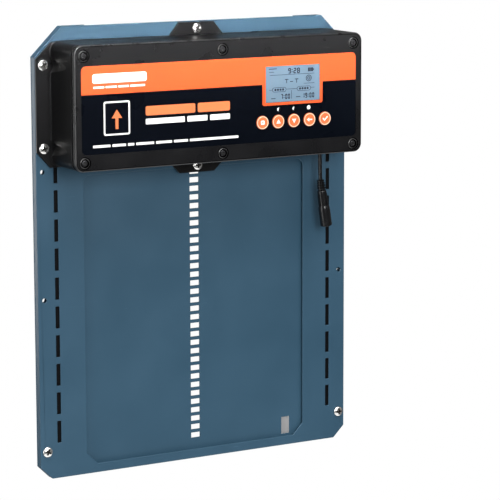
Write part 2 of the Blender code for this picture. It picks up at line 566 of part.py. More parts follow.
def build_batteries():
    """Four cells side by side in an open holder."""
    low, high = (up(h) for h in HOLDER_HEIGHTS)
    half, wall = 2 * CELL_PITCH + HOLDER_WALL, HOLDER_WALL
    back = FLOOR_Y - GAP
    holder = boxes("battery_holder", [((CELLS_MIDDLE_X - half, back - HOLDER_DEPTH, low),
                                       (CELLS_MIDDLE_X + half, back, high))], "guide_plastic")
    inside = [((CELLS_MIDDLE_X - half + wall, back - HOLDER_DEPTH - wall, low + wall),
               (CELLS_MIDDLE_X + half - wall, back - wall, high - wall))]
    boolean(holder, boxes("holder_inside", inside))
    profile = [(0, CELL_L / 2 + 0.0012), (0.0026, CELL_L / 2 + 0.0012), (0.0026, CELL_L / 2),
               (CELL_R, CELL_L / 2 - 0.0006), (CELL_R, -CELL_L / 2), (0, -CELL_L / 2)]
    for i in range(4):
        turn = (0, 0, 0) if i % 2 == 0 else (math.pi, 0, 0)
        place = (CELLS_MIDDLE_X + (i - 1.5) * CELL_PITCH, back - wall - CELL_R - GAP, (low + high) / 2)
        turned(f"battery_{i + 1}", profile, "battery", place, turn)


# ---- drive --------------------------------------------------------------------------------------
def toothed(name, outline, span, axis, bore_r, finish):
    """A gear along X on its axis, with a round bore."""
    loops = [outline, list(reversed(circle(0, 0, bore_r)))]
    return prism(name, loops, *span, finish, ALONG_X, (0, axis[0], up(axis[1])))


def build_drive():
    """Motor, two gear stages, output shaft and the pinion that lifts the door."""
    toward_idler = math.pi / 2 + IDLER_LEAN
    toward_motor = math.pi / 2 + MOTOR_LEAN
    toothed("drive_pinion", pinion_outline(), (-0.004, 0.004), PINION_AXIS, SHAFT_R + GAP, "acetal")
    toothed("output_gear", gear_outline(GEAR_LARGE, toward_idler), STAGE_1_X, PINION_AXIS, SHAFT_R + GAP,
            "acetal")
    small_phase = toward_idler + math.pi + math.pi / GEAR_SMALL
    idler = toothed("idler_gear", gear_outline(GEAR_SMALL, small_phase),
                    (STAGE_1_X[0], STAGE_2_X[0] + 0.0005), IDLER_AXIS, PIN_R + GAP, "acetal")
    boolean(idler, toothed("idler_large_wheel", gear_outline(GEAR_LARGE, toward_motor), STAGE_2_X,
                           IDLER_AXIS, PIN_R + GAP, None), "UNION")
    motor_phase = toward_motor + math.pi + math.pi / GEAR_SMALL
    motor_pinion = prism("motor_pinion", [gear_outline(GEAR_SMALL, motor_phase)], STAGE_2_X[0], STAGE_2_X[1],
                         "steel", ALONG_X, (0, MOTOR_AXIS[0], up(MOTOR_AXIS[1])))
    boolean(motor_pinion, rods("motor_shaft", [(MOTOR_AXIS[0], up(MOTOR_AXIS[1]))], MOTOR_SHAFT_R,
                               STAGE_2_X[0] + 0.001, LID_X[1] + 0.006, "X", 12), "UNION")
    rods("output_shaft", [(PINION_AXIS[0], up(PINION_AXIS[1]))], SHAFT_R, -0.0160, 0.0262, "X", 16, "steel")
    rods("idler_pin", [(IDLER_AXIS[0], up(IDLER_AXIS[1]))], PIN_R, CASE_X[0] + 0.0003, CASE_X[1] - 0.0002,
         "X", 16, "steel")
    build_gearbox()
    build_bearings()
    build_motor()


def build_gearbox():
    """The case round the gears, and its lid."""
    wall = CASE_WALL
    reach = GEAR_MODULE * GEAR_LARGE / 2 + 0.0014
    back_y, front_y = PINION_AXIS[0] + reach + wall, MOTOR_AXIS[0] - 0.0090
    low, high = up(PINION_AXIS[1]) - reach - wall, up(MOTOR_AXIS[1]) + 0.0084
    case = boxes("gearbox_case", [((CASE_X[0], front_y, low), (CASE_X[1], back_y, high))], "guide_plastic")
    foot_low, foot_high = up(DRIVE_WINDOW_H[0] - 0.0050), up(DRIVE_WINDOW_H[1] + 0.0050)
    feet = boxes("case_feet", [((CASE_X[0], FLOOR_Y - GAP - 0.0022, foot_low),
                                (CASE_X[1], FLOOR_Y - GAP, foot_high))])
    boolean(case, feet, "UNION")
    inside = boxes("case_inside", [((CASE_X[0] + 0.0020, front_y + wall, low + wall),
                                    (CASE_X[1] + 0.002, back_y - wall, high - wall))])
    boolean(case, inside)
    side = CASE_X[0] - 0.004, CASE_X[0] + 0.0025
    boolean(case, rods("case_bearing_hole", [(PINION_AXIS[0], up(PINION_AXIS[1]))], BUSH_R + GAP, *side, "X"))
    boolean(case, rods("case_pin_hole", [(IDLER_AXIS[0], up(IDLER_AXIS[1]))], PIN_R + GAP, *side, "X"))
    feet_holes = [(0.0185, foot_low + 0.0025), (0.0185, foot_high - 0.0025)]
    boolean(case, rods("feet_holes", feet_holes, 0.0011, FLOOR_Y - 0.006, FLOOR_Y + 0.001, sides=8))
    lid = boxes("gearbox_lid", [((LID_X[0], front_y, low), (LID_X[1], back_y, high))], "guide_plastic")
    boolean(lid, rods("lid_motor_hole", [(MOTOR_AXIS[0], up(MOTOR_AXIS[1]))], 0.0040,
                      LID_X[0] - 0.002, LID_X[1] + 0.004, "X"))


def build_bearings():
    """The block that carries the shaft's free end, and the two bushes."""
    place = (PINION_AXIS[0], up(PINION_AXIS[1]))
    bore, along_x = SHAFT_R + GAP, (0, math.pi / 2, 0)
    flanged = [(BUSH_R, 0.0024), (BUSH_R, 0.0), (BUSH_R + 0.0015, 0.0), (BUSH_R + 0.0015, -0.0012),
               (bore, -0.0012), (bore, 0.0024)]
    turned("right_bush", flanged, "bronze", (CASE_X[0] - 0.0004, *place), along_x, closed=True)
    plain = [(BUSH_R, 0.0045), (BUSH_R, -0.0025), (bore, -0.0025), (bore, 0.0045)]
    turned("left_bush", plain, "bronze", (BLOCK_X[0] + 0.0030, *place), along_x, closed=True)
    block = boxes("bearing_block", [((BLOCK_X[0], place[0] - 0.008, place[1] - 0.009),
                                     (BLOCK_X[1], FLOOR_Y - GAP, place[1] + 0.009))], "guide_plastic")
    boolean(block, rods("block_hole", [place], BUSH_R + GAP, BLOCK_X[0] - 0.005, BLOCK_X[1] + 0.004, "X"))


def build_motor():
    """The motor can, beside the gearbox, with its two terminals."""
    start = LID_X[1] + GAP
    bore, nose = MOTOR_SHAFT_R + 0.0006, 0.0036
    end_r, end = MOTOR_R - 0.0022, -MOTOR_L - 0.0050
    profile = [(0, -0.0075), (bore, -0.0075), (bore, 0.0), (nose, 0.0), (nose, -0.0018), (MOTOR_R, -0.0018),
               (MOTOR_R, -MOTOR_L), (end_r, -MOTOR_L - 0.0016), (end_r, end), (0, end)]
    place = (MOTOR_AXIS[0], up(MOTOR_AXIS[1]))
    motor = turned("motor", profile, "steel", (start - 0.0018, *place), (0, -math.pi / 2, 0), 24)
    x, (y, z) = start - 0.0018 - end - 0.0004, place
    tabs = [((x, y + side - 0.0004, z - 0.0012), (x + 0.0055, y + side + 0.0004, z + 0.0012))
            for side in (-0.0066, 0.0066)]
    boolean(motor, boxes("motor_terminals", tabs), "UNION")


# ---- fasteners ----------------------------------------------------------------------------------
def screw_mesh(name, head_r, head_h, shank_r, shank_l):
    """A domed screw with its head's seat at the origin, pointing along local Z."""
    shape = [(0, head_h), (head_r * 0.6, head_h * 0.9), (head_r, head_h * 0.3), (head_r, 0), (shank_r, 0),
             (shank_r, -shank_l), (0, -shank_l)]
    mesh = baked(turned(name, shape, "nickel", sides=12))
    mesh.materials.clear()
    return mesh


def place_screws(mesh, finish, places):
    """Screws that share one mesh, each its own piece facing the front."""
    mesh.materials.append(material(finish))
    for name, x, y, height in places:
        add(name, mesh, finish, (x, y, up(height)), FACING_FRONT)


def build_screws():
    """Bright screws on the flange and the frame's corners, black screws in the cover's sockets."""
    flange_y = HOUSING_BACK_Y - FLANGE_T - GAP
    low, high = SIDE_SCREW_HEIGHTS
    x = SIDE_SCREW_X
    place_screws(screw_mesh("flange_screw", BRIGHT_HEAD_R, BRIGHT_HEAD_H, 0.0020, 0.0064), "nickel", [
        ("lug_screw_bottom", 0, flange_y, LUG_SCREW_HEIGHTS[0]),
        ("lug_screw_top", 0, flange_y, LUG_SCREW_HEIGHTS[1]),
        ("ear_screw_left_low", -x, flange_y, low), ("ear_screw_left_high", -x, flange_y, high),
        ("ear_screw_right_low", x, flange_y, low), ("ear_screw_right_high", x, flange_y, high)])
    place_screws(screw_mesh("frame_screw", BRIGHT_HEAD_R, BRIGHT_HEAD_H, 0.0020, 0.0100), "nickel", [
        ("corner_screw_left", -x, -FRAME_D - GAP, CORNER_SCREW_H),
        ("corner_screw_right", x, -FRAME_D - GAP, CORNER_SCREW_H)])
    seat_y = COVER_FACE_Y + SOCKET_DEPTH - GAP
    places = []
    for side, x in zip(("left", "middle", "right"), COVER_SCREW_X):
        for level, height in zip(("low", "high"), COVER_SCREW_HEIGHTS):
            places.append((f"cover_screw_{side}_{level}", x, seat_y, height))
    place_screws(screw_mesh("cover_screw", COVER_HEAD_R, 0.0012, 0.0014, 0.0180), "black_steel", places)


# ---- power lead ---------------------------------------------------------------------------------
def build_lead():
    """The short free lead below the housing: grommet, cable, ribbed sleeve and socket."""
    bottom = up(HOUSING_BOTTOM_H)
    turned("lead_grommet", [(0, 0.0042), (0.0052, 0.0042), (0.0062, 0.0036), (0.0062, 0.0028),
                            (0.0042, 0.0028), (0.0042, -0.0003), (0.0062, -0.0003), (0.0056, -0.0016),
                            (0, -0.0019)], "rubber", (CORD_X, CORD_Y, bottom))
    curve = bpy.data.curves.new("power_lead", "CURVE")
    curve.dimensions = "3D"
    curve.bevel_depth = CORD_R
    curve.bevel_resolution = 2
    curve.use_fill_caps = True
    spline = curve.splines.new("POLY")
    spline.points.add(len(CORD_POINTS) - 1)
    for point, (height, drift) in zip(spline.points, CORD_POINTS):
        point.co = (CORD_X + drift, CORD_Y, up(height), 1.0)
    curve.materials.append(material("rubber"))
    parts.objects.link(bpy.data.objects.new("power_lead", curve))
    top = Vector((JACK_TOP[0], CORD_Y, up(JACK_TOP[1])))
    foot = Vector((JACK_BOTTOM[0], CORD_Y, up(JACK_BOTTOM[1])))
    end = Vector((CORD_X + CORD_POINTS[-1][1], CORD_Y, up(CORD_POINTS[-1][0])))
    build_sleeve(top, end)
    build_socket(top, foot)


def lean(first, second):
    """The rotation about Y that turns local Z along the line from first to second."""
    along = second - first
    return (0, math.atan2(along.x, along.z), 0)


def build_sleeve(top, end):
    """The ribbed strain relief between the cable and the socket."""
    length = (end - top).length - 2 * GAP
    profile = [(0, length)]
    step = length / SLEEVE_RIBS
    for i in range(SLEEVE_RIBS):
        high = length - i * step
        outer = SLEEVE_TIP_R + (SLEEVE_BASE_R - SLEEVE_TIP_R) * i / (SLEEVE_RIBS - 1)
        profile += [(outer, high), (outer, high - step * 0.55), (outer - RIB_DEPTH, high - step * 0.6)]
        profile += [(outer - RIB_DEPTH, high - step * (0.95 if i < SLEEVE_RIBS - 1 else 1.0))]
    profile += [(0, 0)]
    turned("jack_strain_relief", profile, "rubber", top + (end - top).normalized() * GAP, lean(top, end), 12)


def build_socket(top, foot):
    """The barrel socket with its centre contact."""
    length = (foot - top).length - GAP
    turned("jack_body", [(0, 0.0), (0.0044, -0.0004), (0.0049, -0.0012), (0.0056, -0.0170),
                         (0.0060, -0.0196), (0.0063, -0.0216), (0.0063, -length + 0.0008),
                         (0.0056, -length), (0.0031, -length), (0.0031, -length + 0.0110),
                         (0, -length + 0.0110)], "rubber", top, lean(foot, top), 20)
    turned("jack_contact", [(0, -length + 0.0107), (0.0010, -length + 0.0107), (0.0010, -length + 0.0022),
                            (0.0006, -length + 0.0016), (0, -length + 0.0016)],
           "nickel", top, lean(foot, top), 10)


def main():
    build_front_plate()
    build_rear_frame()
    build_guides()
    build_door()
    build_housing_base()
    build_gasket()
    build_cover()
    build_labels()
    build_controls()
    build_batteries()
    build_drive()
    build_screws()
    build_lead()
    bpy.context.view_layer.update()


main()
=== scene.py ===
"""Looks of the automatic coop door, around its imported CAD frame. Metres, +Z up, front at -Y."""

import math

import bmesh
import bpy
from mathutils import Matrix, Vector


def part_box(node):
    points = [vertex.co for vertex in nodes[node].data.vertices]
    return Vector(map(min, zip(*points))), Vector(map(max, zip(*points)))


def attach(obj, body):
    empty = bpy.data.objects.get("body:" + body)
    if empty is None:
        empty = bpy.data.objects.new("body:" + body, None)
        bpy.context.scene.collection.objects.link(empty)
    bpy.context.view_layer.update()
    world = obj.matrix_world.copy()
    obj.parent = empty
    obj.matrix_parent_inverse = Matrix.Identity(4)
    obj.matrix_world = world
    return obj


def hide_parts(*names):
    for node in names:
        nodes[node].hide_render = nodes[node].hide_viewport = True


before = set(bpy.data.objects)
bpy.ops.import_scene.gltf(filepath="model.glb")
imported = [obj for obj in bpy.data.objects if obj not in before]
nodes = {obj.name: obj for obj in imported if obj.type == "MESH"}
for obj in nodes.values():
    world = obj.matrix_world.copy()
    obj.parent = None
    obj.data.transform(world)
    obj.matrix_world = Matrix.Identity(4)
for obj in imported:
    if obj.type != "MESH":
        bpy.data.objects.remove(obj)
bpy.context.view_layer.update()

GAP = 0.0003                                     # clearance between pieces that touch
FACING_FRONT = Matrix.Rotation(math.pi / 2, 4, "X")     # local Z to world -Y

# ---- driving dimensions that the nodes' boxes don't give -----------------------------------------
HOUSING_RADIUS, HOUSING_WALL = 0.009, 0.0025     # corner radius of the front view, and its walls
COVER_SKIN, DISPLAY_CORNER = 0.0028, 0.0003      # cover's front thickness, display's corner radius
FLANGE_T, FLOOR_T = 0.0028, 0.0022               # the housing base's flange and floor
FLANGE_BELOW, FLANGE_ABOVE = 0.0013, -0.0005     # how far the flange passes the cover, low and high
EAR_BELOW, EAR_ABOVE = 0.0037, 0.0059            # the ears past their outer screws
LUG_HALF_W, LUG_FOOT_LOW, LUG_FOOT_TOP = 0.0203, 0.0360, 0.0320
EAR_FOOT_LOW, EAR_FOOT_TOP = 0.1673, 0.1646      # where the ears' slanted ends start, from the middle
SCALLOP_R, SCALLOP_TIP_R, SCALLOP_TIP_Y = 0.0115, 0.0070, -0.0700
SCREW_HOLE_R, BEAD = 0.0023, 0.0009              # BEAD is the small ridge around the box's foot
POST_R, POST_HOLE_R, POST_HOLE_DEPTH = 0.0045, 0.0018, 0.0146
MOTOR_WINDOW_LEFT, MOTOR_WINDOW_RIGHT, WINDOW_MARGIN = -0.008, 0.0328, 0.0044
GROOVE_INSET, GROOVE_W, GROOVE_DEPTH = 0.0013, 0.0006, 0.0007
SOCKET_R, SOCKET_DEPTH, COVER_EDGE = 0.0064, 0.0016, 0.0012
SOCKET_GROOVE_W, SOCKET_BORE_R = 0.0010, 0.0040
LABEL_RADIUS, TAB_CHAMFER = 0.005, 0.0015
TAB_LEFT_MARGIN, TAB_RIGHT_MARGIN = 0.0040, 0.0034
PRINT_T = 0.00008                                # thickness of the label's printed marks
PRINT_SEAT = 0.00001                             # bare space under a printed mark
BUTTON_R, LIGHT_R, KEY_SEAT = 0.0069, 0.0023, 0.0031

# ---- power lead: the cable's middle line, and the ends of the barrel socket ------------------------
CORD_ROUTE = ((0.1389, -0.0300, 0.3182), (0.1389, -0.0300, 0.3121), (0.1390, -0.0300, 0.3041),
              (0.1392, -0.0300, 0.2961), (0.1396, -0.0300, 0.2871))
CORD_R, GROMMET_HOLE_R = 0.0021, 0.0045
SLEEVE_RINGS, SOCKET_GRIPS = 4, 10
JACK_TOP, JACK_BOTTOM = Vector((0.1411, -0.0300, 0.2758)), Vector((0.1472, -0.0300, 0.2364))

# ---- camera and studio, angles in degrees ----------------------------------------------------------
CAMERA_SPOT, CAMERA_LENS, CAMERA_SHIFT_Y = (-1.1085, -2.1139, 0.6390), 165.239, -0.1
CAMERA_AZIMUTH, CAMERA_ELEVATION, CAMERA_ROLL = -29.142, 8.756, -0.154
FLOOR_PLACE, FLOOR_HALF = (0, -0.45, -0.60), 0.75
BACKDROP_LIGHT, BACKDROP_SEEN = 0.16, 1.0        # strength on the object, and as the camera sees it


def middle(node):
    """The centre of a CAD node's box."""
    low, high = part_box(node)
    return (low + high) / 2


cover_low, cover_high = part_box("front_cover")
base_low, base_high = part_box("housing_base")
label_low, label_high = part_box("label_lower")[0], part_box("label_upper")[1]
split_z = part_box("label_lower")[1].z + GAP
tab_low_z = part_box("label_upper")[0].z
lcd_low, lcd_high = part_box("lcd_window")
label_face_y = label_low.y

BUTTONS = ("settings", "up", "down", "back", "confirm")
LIGHTS = ("status_led_left", "status_led_right", "light_sensor")
FLANGE_SCREWS = [f"ear_screw_{side}_{level}" for side in ("left", "right") for level in ("low", "high")]
LUG_SCREWS = ["lug_screw_bottom", "lug_screw_top"]
CORNER_SCREWS = ["corner_screw_left", "corner_screw_right"]
COVER_SCREWS = [f"cover_screw_{side}_{level}"
                for side in ("left", "middle", "right") for level in ("low", "high")]


# ---- camera --------------------------------------------------------------------------------------
def build_camera():
    """A long lens to the left of the door and a little above it."""
    azimuth, elevation, roll = map(math.radians, (CAMERA_AZIMUTH, CAMERA_ELEVATION, CAMERA_ROLL))
    forward = Vector((-math.sin(azimuth) * math.cos(elevation), math.cos(azimuth) * math.cos(elevation),
                      -math.sin(elevation)))
    right = forward.cross(Vector((0, 0, 1))).normalized()
    above = right.cross(forward)
    turned_right = right * math.cos(roll) + above * math.sin(roll)
    turned_up = above * math.cos(roll) - right * math.sin(roll)
    data = bpy.data.cameras.new("camera")
    data.lens = CAMERA_LENS
    data.shift_y = CAMERA_SHIFT_Y
    camera = bpy.data.objects.new("camera", data)
    bpy.context.scene.collection.objects.link(camera)
    camera.matrix_world = Matrix.Translation(CAMERA_SPOT) @ Matrix(
        (turned_right, turned_up, -forward)).transposed().to_4x4()
    bpy.context.scene.camera = camera


# ---- materials -----------------------------------------------------------------------------------
def surface(name, colour, roughness, metallic=0.0, *, grain=1500.0, depth=0.00002, tint=0.10, spread=0.06,
            mottle=40.0, stretch=(1, 1, 1), scratches=0.0, **sockets):
    """A finish with fine relief, uneven colour and gloss, and scuffs. Grain and mottle are per metre."""
    made = bpy.data.materials.new(name)
    made.use_nodes = True
    tree = made.node_tree
    shader = tree.nodes["Principled BSDF"]
    shader.inputs["Metallic"].default_value = metallic
    for socket, value in sockets.items():
        shader.inputs[socket.replace("_", " ").title().replace("Ior", "IOR")].default_value = value

    def node(kind, **inputs):
        """A shader node with some of its inputs set."""
        new = tree.nodes.new(kind)
        for key, value in inputs.items():
            new.inputs[key].default_value = value
        return new

    place = tree.nodes.new("ShaderNodeTexCoord")
    mapping = node("ShaderNodeMapping", Scale=stretch)
    fine = node("ShaderNodeTexNoise", Scale=grain, Detail=3.0, Roughness=0.6)
    broad = node("ShaderNodeTexNoise", Scale=mottle, Detail=4.0, Roughness=0.55)
    tree.links.new(place.outputs["Object"], mapping.inputs["Vector"])
    for noise in (fine, broad):
        tree.links.new(mapping.outputs["Vector"], noise.inputs["Vector"])
    colours = tree.nodes.new("ShaderNodeValToRGB")
    colours.color_ramp.elements[0].position, colours.color_ramp.elements[1].position = 0.3, 0.7
    colours.color_ramp.elements[0].color = (*(c * (1 - tint) for c in colour), 1)
    colours.color_ramp.elements[1].color = (*(min(1, c * (1 + tint)) for c in colour), 1)
    tree.links.new(broad.outputs["Fac"], colours.inputs["Fac"])
    gloss = node("ShaderNodeMapRange")
    for key, value in zip(("From Min", "From Max", "To Min", "To Max"),
                          (0.3, 0.7, roughness - spread, roughness + spread)):
        gloss.inputs[key].default_value = value
    tree.links.new(broad.outputs["Fac"], gloss.inputs["Value"])
    tree.links.new(gloss.outputs["Result"], shader.inputs["Roughness"])
    bump = node("ShaderNodeBump", Strength=1.0, Distance=depth)
    tree.links.new(fine.outputs["Fac"], bump.inputs["Height"])
    tree.links.new(bump.outputs["Normal"], shader.inputs["Normal"])
    if not scratches:
        tree.links.new(colours.outputs["Color"], shader.inputs["Base Color"])
        return made
    streaks = node("ShaderNodeTexNoise", Scale=60.0, Detail=6.0, Roughness=0.75)
    slant = node("ShaderNodeMapping", Rotation=(0.3, 0.5, 0.2), Scale=(0.35, 6.0, 3.0))
    tree.links.new(place.outputs["Object"], slant.inputs["Vector"])
    tree.links.new(slant.outputs["Vector"], streaks.inputs["Vector"])
    scuffs = tree.nodes.new("ShaderNodeValToRGB")
    scuffs.color_ramp.elements[0].position, scuffs.color_ramp.elements[1].position = 0.66, 0.74
    tree.links.new(streaks.outputs["Fac"], scuffs.inputs["Fac"])
    lighter = tree.nodes.new("ShaderNodeMix")
    lighter.data_type = "RGBA"
    lighter.inputs["B"].default_value = (*(min(1, c * (1 + scratches) + 0.01) for c in colour), 1)
    tree.links.new(scuffs.outputs["Color"], lighter.inputs["Factor"])
    tree.links.new(colours.outputs["Color"], lighter.inputs["A"])
    tree.links.new(lighter.outputs["Result"], shader.inputs["Base Color"])
    return made


FINISHES = {
    "painted_sheet": surface("powder_coated_sheet", (0.0245, 0.0620, 0.0980), 0.40, 0.0, grain=1300,
                             depth=0.00003, tint=0.07, mottle=14, scratches=0.5, IOR=1.35),
    "housing_plastic": surface("moulded_black_plastic", (0.0045, 0.0045, 0.0048), 0.36, grain=1900,
                               depth=0.00003, tint=0.15, mottle=30, scratches=0.8, IOR=1.23),
    # the cover's own finish, also put on the housing's foot ridge for a painted highlight line
    "cover_plastic_and_bead_sheen": surface("satin_black_plastic", (0.0036, 0.0036, 0.0042), 0.30, grain=1900,
                             depth=0.00002, tint=0.15, mottle=30, scratches=0.8, IOR=1.31),
    # lighter than the cover's black and glossier: a painted highlight on the cover's rim and socket rings
    "painted_highlight_edge": surface("black_edge_painted_highlight", (0.0120, 0.0120, 0.0125), 0.30, grain=1900,
                            depth=0.00001, IOR=1.60),
    # a darker, glossier copy of the housing plastic for the scallops: painted shade and sheen in the hollows
    "scallop_painted_shade_and_sheen": surface("black_hollow_painted_shade_and_sheen", (0.0032, 0.0032, 0.0034), 0.30, grain=1900,
                             depth=0.00001, spread=0.03, IOR=1.36),
    # near black and dull: painted shade lining the cover's groove and screw sockets
    "painted_groove_shade": surface("painted_groove_shade_film", (0.0003, 0.0003, 0.0004), 0.90, grain=1900, depth=0.00001, IOR=1.05),
    "guide_plastic": surface("guide_black_plastic", (0.0025, 0.0025, 0.0030), 0.60, grain=1200,
                             depth=0.00003, IOR=1.15),
    "rubber": surface("soft_black_rubber", (0.0030, 0.0032, 0.0038), 0.24, grain=2500, depth=0.000006,
                      mottle=80, IOR=1.42),
    "label_orange": surface("orange_label_film", (0.66, 0.086, 0.020), 0.34, grain=300, depth=0.000004,
                            tint=0.03, mottle=12, spread=0.05, IOR=1.30),
    "label_black": surface("black_label_film", (0.0012, 0.0020, 0.0040), 0.30, grain=300, depth=0.000004,
                           tint=0.2, mottle=12, spread=0.06, IOR=1.12),
    "button_orange": surface("orange_key_rubber", (0.62, 0.130, 0.038), 0.45, grain=1800, depth=0.00001,
                             tint=0.04, IOR=1.35),
    "print_white": surface("white_print", (0.80, 0.80, 0.78), 0.45, grain=2500, depth=0.000004,
                           tint=0.03),
    "print_cream": surface("cream_print", (0.80, 0.58, 0.42), 0.45, grain=2500, depth=0.000004,
                           tint=0.03),
    "print_orange": surface("orange_print", (0.62, 0.150, 0.040), 0.45, grain=2500, depth=0.000004,
                            tint=0.03),
    "lcd_clear": surface("display_glass", (0.122, 0.185, 0.243), 0.20, grain=200, depth=0.000002,
                         tint=0.06, mottle=25, spread=0.03, Coat_Weight=0.2, Coat_Roughness=0.08),
    "lcd_ink": surface("display_segments", (0.004, 0.006, 0.016), 0.35, grain=2500, depth=0.000003,
                       IOR=1.2),
    "lcd_grey": surface("display_body", (0.30, 0.33, 0.35), 0.40),
    # the white sensor window, also printed as a painted glint on the smoked windows
    "light_pipe": surface("white_window_and_painted_glint", (0.80, 0.82, 0.84), 0.12, depth=0.000003, tint=0.03,
                          spread=0.02, Coat_Weight=0.8),
    "light_dark": surface("smoked_light_window", (0.004, 0.005, 0.007), 0.12, depth=0.000003,
                          spread=0.02),
    "nickel": surface("bright_nickel", (0.74, 0.73, 0.71), 0.24, 0.95, grain=3000, depth=0.000006,
                      tint=0.08, mottle=300, spread=0.06),
    # dark copies of the screw metals that line the cross recesses: painted shade
    "nickel_painted_recess_shade": surface("nickel_painted_recess_shade", (0.03, 0.028, 0.026), 0.50, 1.0, grain=3000, depth=0.00001,
                             tint=0.2, mottle=900),
    "black_steel": surface("blackened_steel", (0.034, 0.034, 0.037), 0.30, 0.8, grain=2600,
                           depth=0.00001),
    "black_painted_recess_shade": surface("black_painted_recess_shade", (0.004, 0.004, 0.004), 0.60, 0.2, grain=2600, depth=0.00001),
    "magnet": surface("plated_magnet", (0.40, 0.40, 0.405), 0.36, 0.6, grain=900, depth=0.000008,
                      mottle=120, stretch=(1, 1, 0.15)),
    "steel": surface("bright_steel", (0.42, 0.42, 0.43), 0.32, 1.0, grain=900, depth=0.000008, mottle=150,
                     stretch=(0.1, 1, 1)),
    "bronze": surface("sintered_bronze", (0.42, 0.26, 0.11), 0.42, 1.0, grain=4000, depth=0.00002),
    "acetal": surface("white_acetal", (0.74, 0.73, 0.68), 0.42, grain=1500, depth=0.000008, tint=0.04),
    "board_green": surface("green_circuit_board", (0.02, 0.12, 0.05), 0.38, grain=700, depth=0.00002,
                           tint=0.35, mottle=350),
    "battery": surface("battery_sleeve", (0.045, 0.09, 0.30), 0.30, 0.1, grain=500, depth=0.000006,
                       Coat_Weight=0.4),
    "floor": surface("pale_floor", (0.82, 0.82, 0.82), 0.90, grain=20, depth=0.0001, tint=0.01, mottle=1,
                     IOR=1.1),
}

# ---- shapes --------------------------------------------------------------------------------------


def shown(name, mesh, finish):
    """Puts a mesh in the scene with a finish."""
    obj = bpy.data.objects.new(name, mesh)
    bpy.context.scene.collection.objects.link(obj)
    mesh.materials.clear()
    if finish:
        mesh.materials.append(FINISHES[finish])
    return obj


def baked(obj):
    """Applies an object's modifiers to its mesh."""
    bpy.context.view_layer.update()
    mesh = bpy.data.meshes.new_from_object(obj.evaluated_get(bpy.context.evaluated_depsgraph_get()))
    obj.modifiers.clear()
    obj.data = mesh
    return obj


def cut(target, tool, operation="DIFFERENCE"):
    """Cuts a tool out of a piece or joins it on, and removes the tool. A tool's own finish lines its cut."""
    modifier = target.modifiers.new("boolean", "BOOLEAN")
    modifier.object, modifier.operation, modifier.solver = tool, operation, "EXACT"
    modifier.material_mode = "TRANSFER" if tool.data.materials else "INDEX"
    baked(target)
    bpy.data.objects.remove(tool)
    return target


def soften(obj, width, segments=2, angle=35.0, finish=None):
    """Rounds a piece's sharp edges, which can have a finish of their own."""
    bevel = obj.modifiers.new("edges", "BEVEL")
    bevel.width, bevel.segments = width, segments
    bevel.limit_method, bevel.angle_limit = "ANGLE", math.radians(angle)
    bevel.use_clamp_overlap = False
    if finish:
        obj.data.materials.append(FINISHES[finish])
        bevel.material = len(obj.data.materials) - 1
    return baked(obj)


def smooth(obj, angle=40.0):
    """Smooth shading that keeps flat faces flat."""
    obj.data.shade_smooth()
    obj.data.set_sharp_from_angle(angle=math.radians(angle))
    weighted = obj.modifiers.new("normals", "WEIGHTED_NORMAL")
    weighted.keep_sharp = True
    return obj


def plate(name, loops, front_y, back_y, finish=None):
    """A flat outline in XZ with any holes, between two places in Y."""
    curve = bpy.data.curves.new(name, "CURVE")
    curve.dimensions, curve.fill_mode, curve.extrude = "2D", "BOTH", (back_y - front_y) / 2
    for loop in loops:
        spline = curve.splines.new("POLY")
        spline.points.add(len(loop) - 1)
        for point, (x, z) in zip(spline.points, loop):
            point.co = (x, z, 0.0, 1.0)
        spline.use_cyclic_u = True
    flat = bpy.data.objects.new(name, curve)
    bpy.context.scene.collection.objects.link(flat)
    bpy.context.view_layer.update()
    mesh = bpy.data.meshes.new_from_object(flat.evaluated_get(bpy.context.evaluated_depsgraph_get()))
    bpy.data.objects.remove(flat)
    bm = bmesh.new()
    bm.from_mesh(mesh)
    bmesh.ops.remove_doubles(bm, verts=bm.verts, dist=1e-7)
    bmesh.ops.recalc_face_normals(bm, faces=bm.faces)
    place = Matrix.Translation((0, (front_y + back_y) / 2, 0)) @ FACING_FRONT
    bmesh.ops.transform(bm, verts=bm.verts, matrix=place)
    bm.to_mesh(mesh)
    bm.free()
    return shown(name, mesh, finish)


def turned(name, profile, finish, place, sides=48):
    """A solid of revolution. The profile runs down its outer side as (radius, height)."""
    bm = bmesh.new()
    rings = []
    for radius, height in profile:
        steps = sides if radius else 1
        turns = [2 * math.pi * i / steps for i in range(steps)]
        rings.append([bm.verts.new((radius * math.cos(a), radius * math.sin(a), height)) for a in turns])
    for first, second in zip(rings, rings[1:]):
        for i in range(sides):
            j = (i + 1) % sides
            corners = [first[j % len(first)], first[i % len(first)],
                       second[i % len(second)], second[j % len(second)]]
            bm.faces.new(list(dict.fromkeys(corners)))
    bmesh.ops.recalc_face_normals(bm, faces=bm.faces)
    bmesh.ops.transform(bm, verts=bm.verts, matrix=place)
    mesh = bpy.data.meshes.new(name)
    bm.to_mesh(mesh)
    bm.free()
    return shown(name, mesh, finish)


def facing(x, y, z):
    """The place of a turned piece whose axis points out of the front."""
    return Matrix.Translation((x, y, z)) @ FACING_FRONT


def rod(centre, radius, front_y, back_y, sides=32, front_radius=None, finish=None):
    """A round tool along Y, which tapers towards the front where front_radius is given."""
    length = back_y - front_y
    return turned("tool", [(0, length), (front_radius or radius, length), (radius, 0), (0, 0)], finish,
                  facing(centre.x, back_y, centre.z), sides)


def boxes(name, spans, finish=None):
    """One mesh of boxes, each given by its lowest and highest corners."""
    bm = bmesh.new()
    for low, high in spans:
        low, high = Vector(low), Vector(high)
        size = Matrix.Diagonal((*(high - low), 1.0))
        bmesh.ops.create_cube(bm, size=1.0, matrix=Matrix.Translation((low + high) / 2) @ size)
    mesh = bpy.data.meshes.new(name)
    bm.to_mesh(mesh)
    bm.free()
    return shown(name, mesh, finish)


def arc(cx, cz, radius, start, end, steps):
    """Points along an arc, angles in degrees."""
    angles = [math.radians(start + (end - start) * i / steps) for i in range(steps + 1)]
    return [(cx + radius * math.cos(a), cz + radius * math.sin(a)) for a in angles]


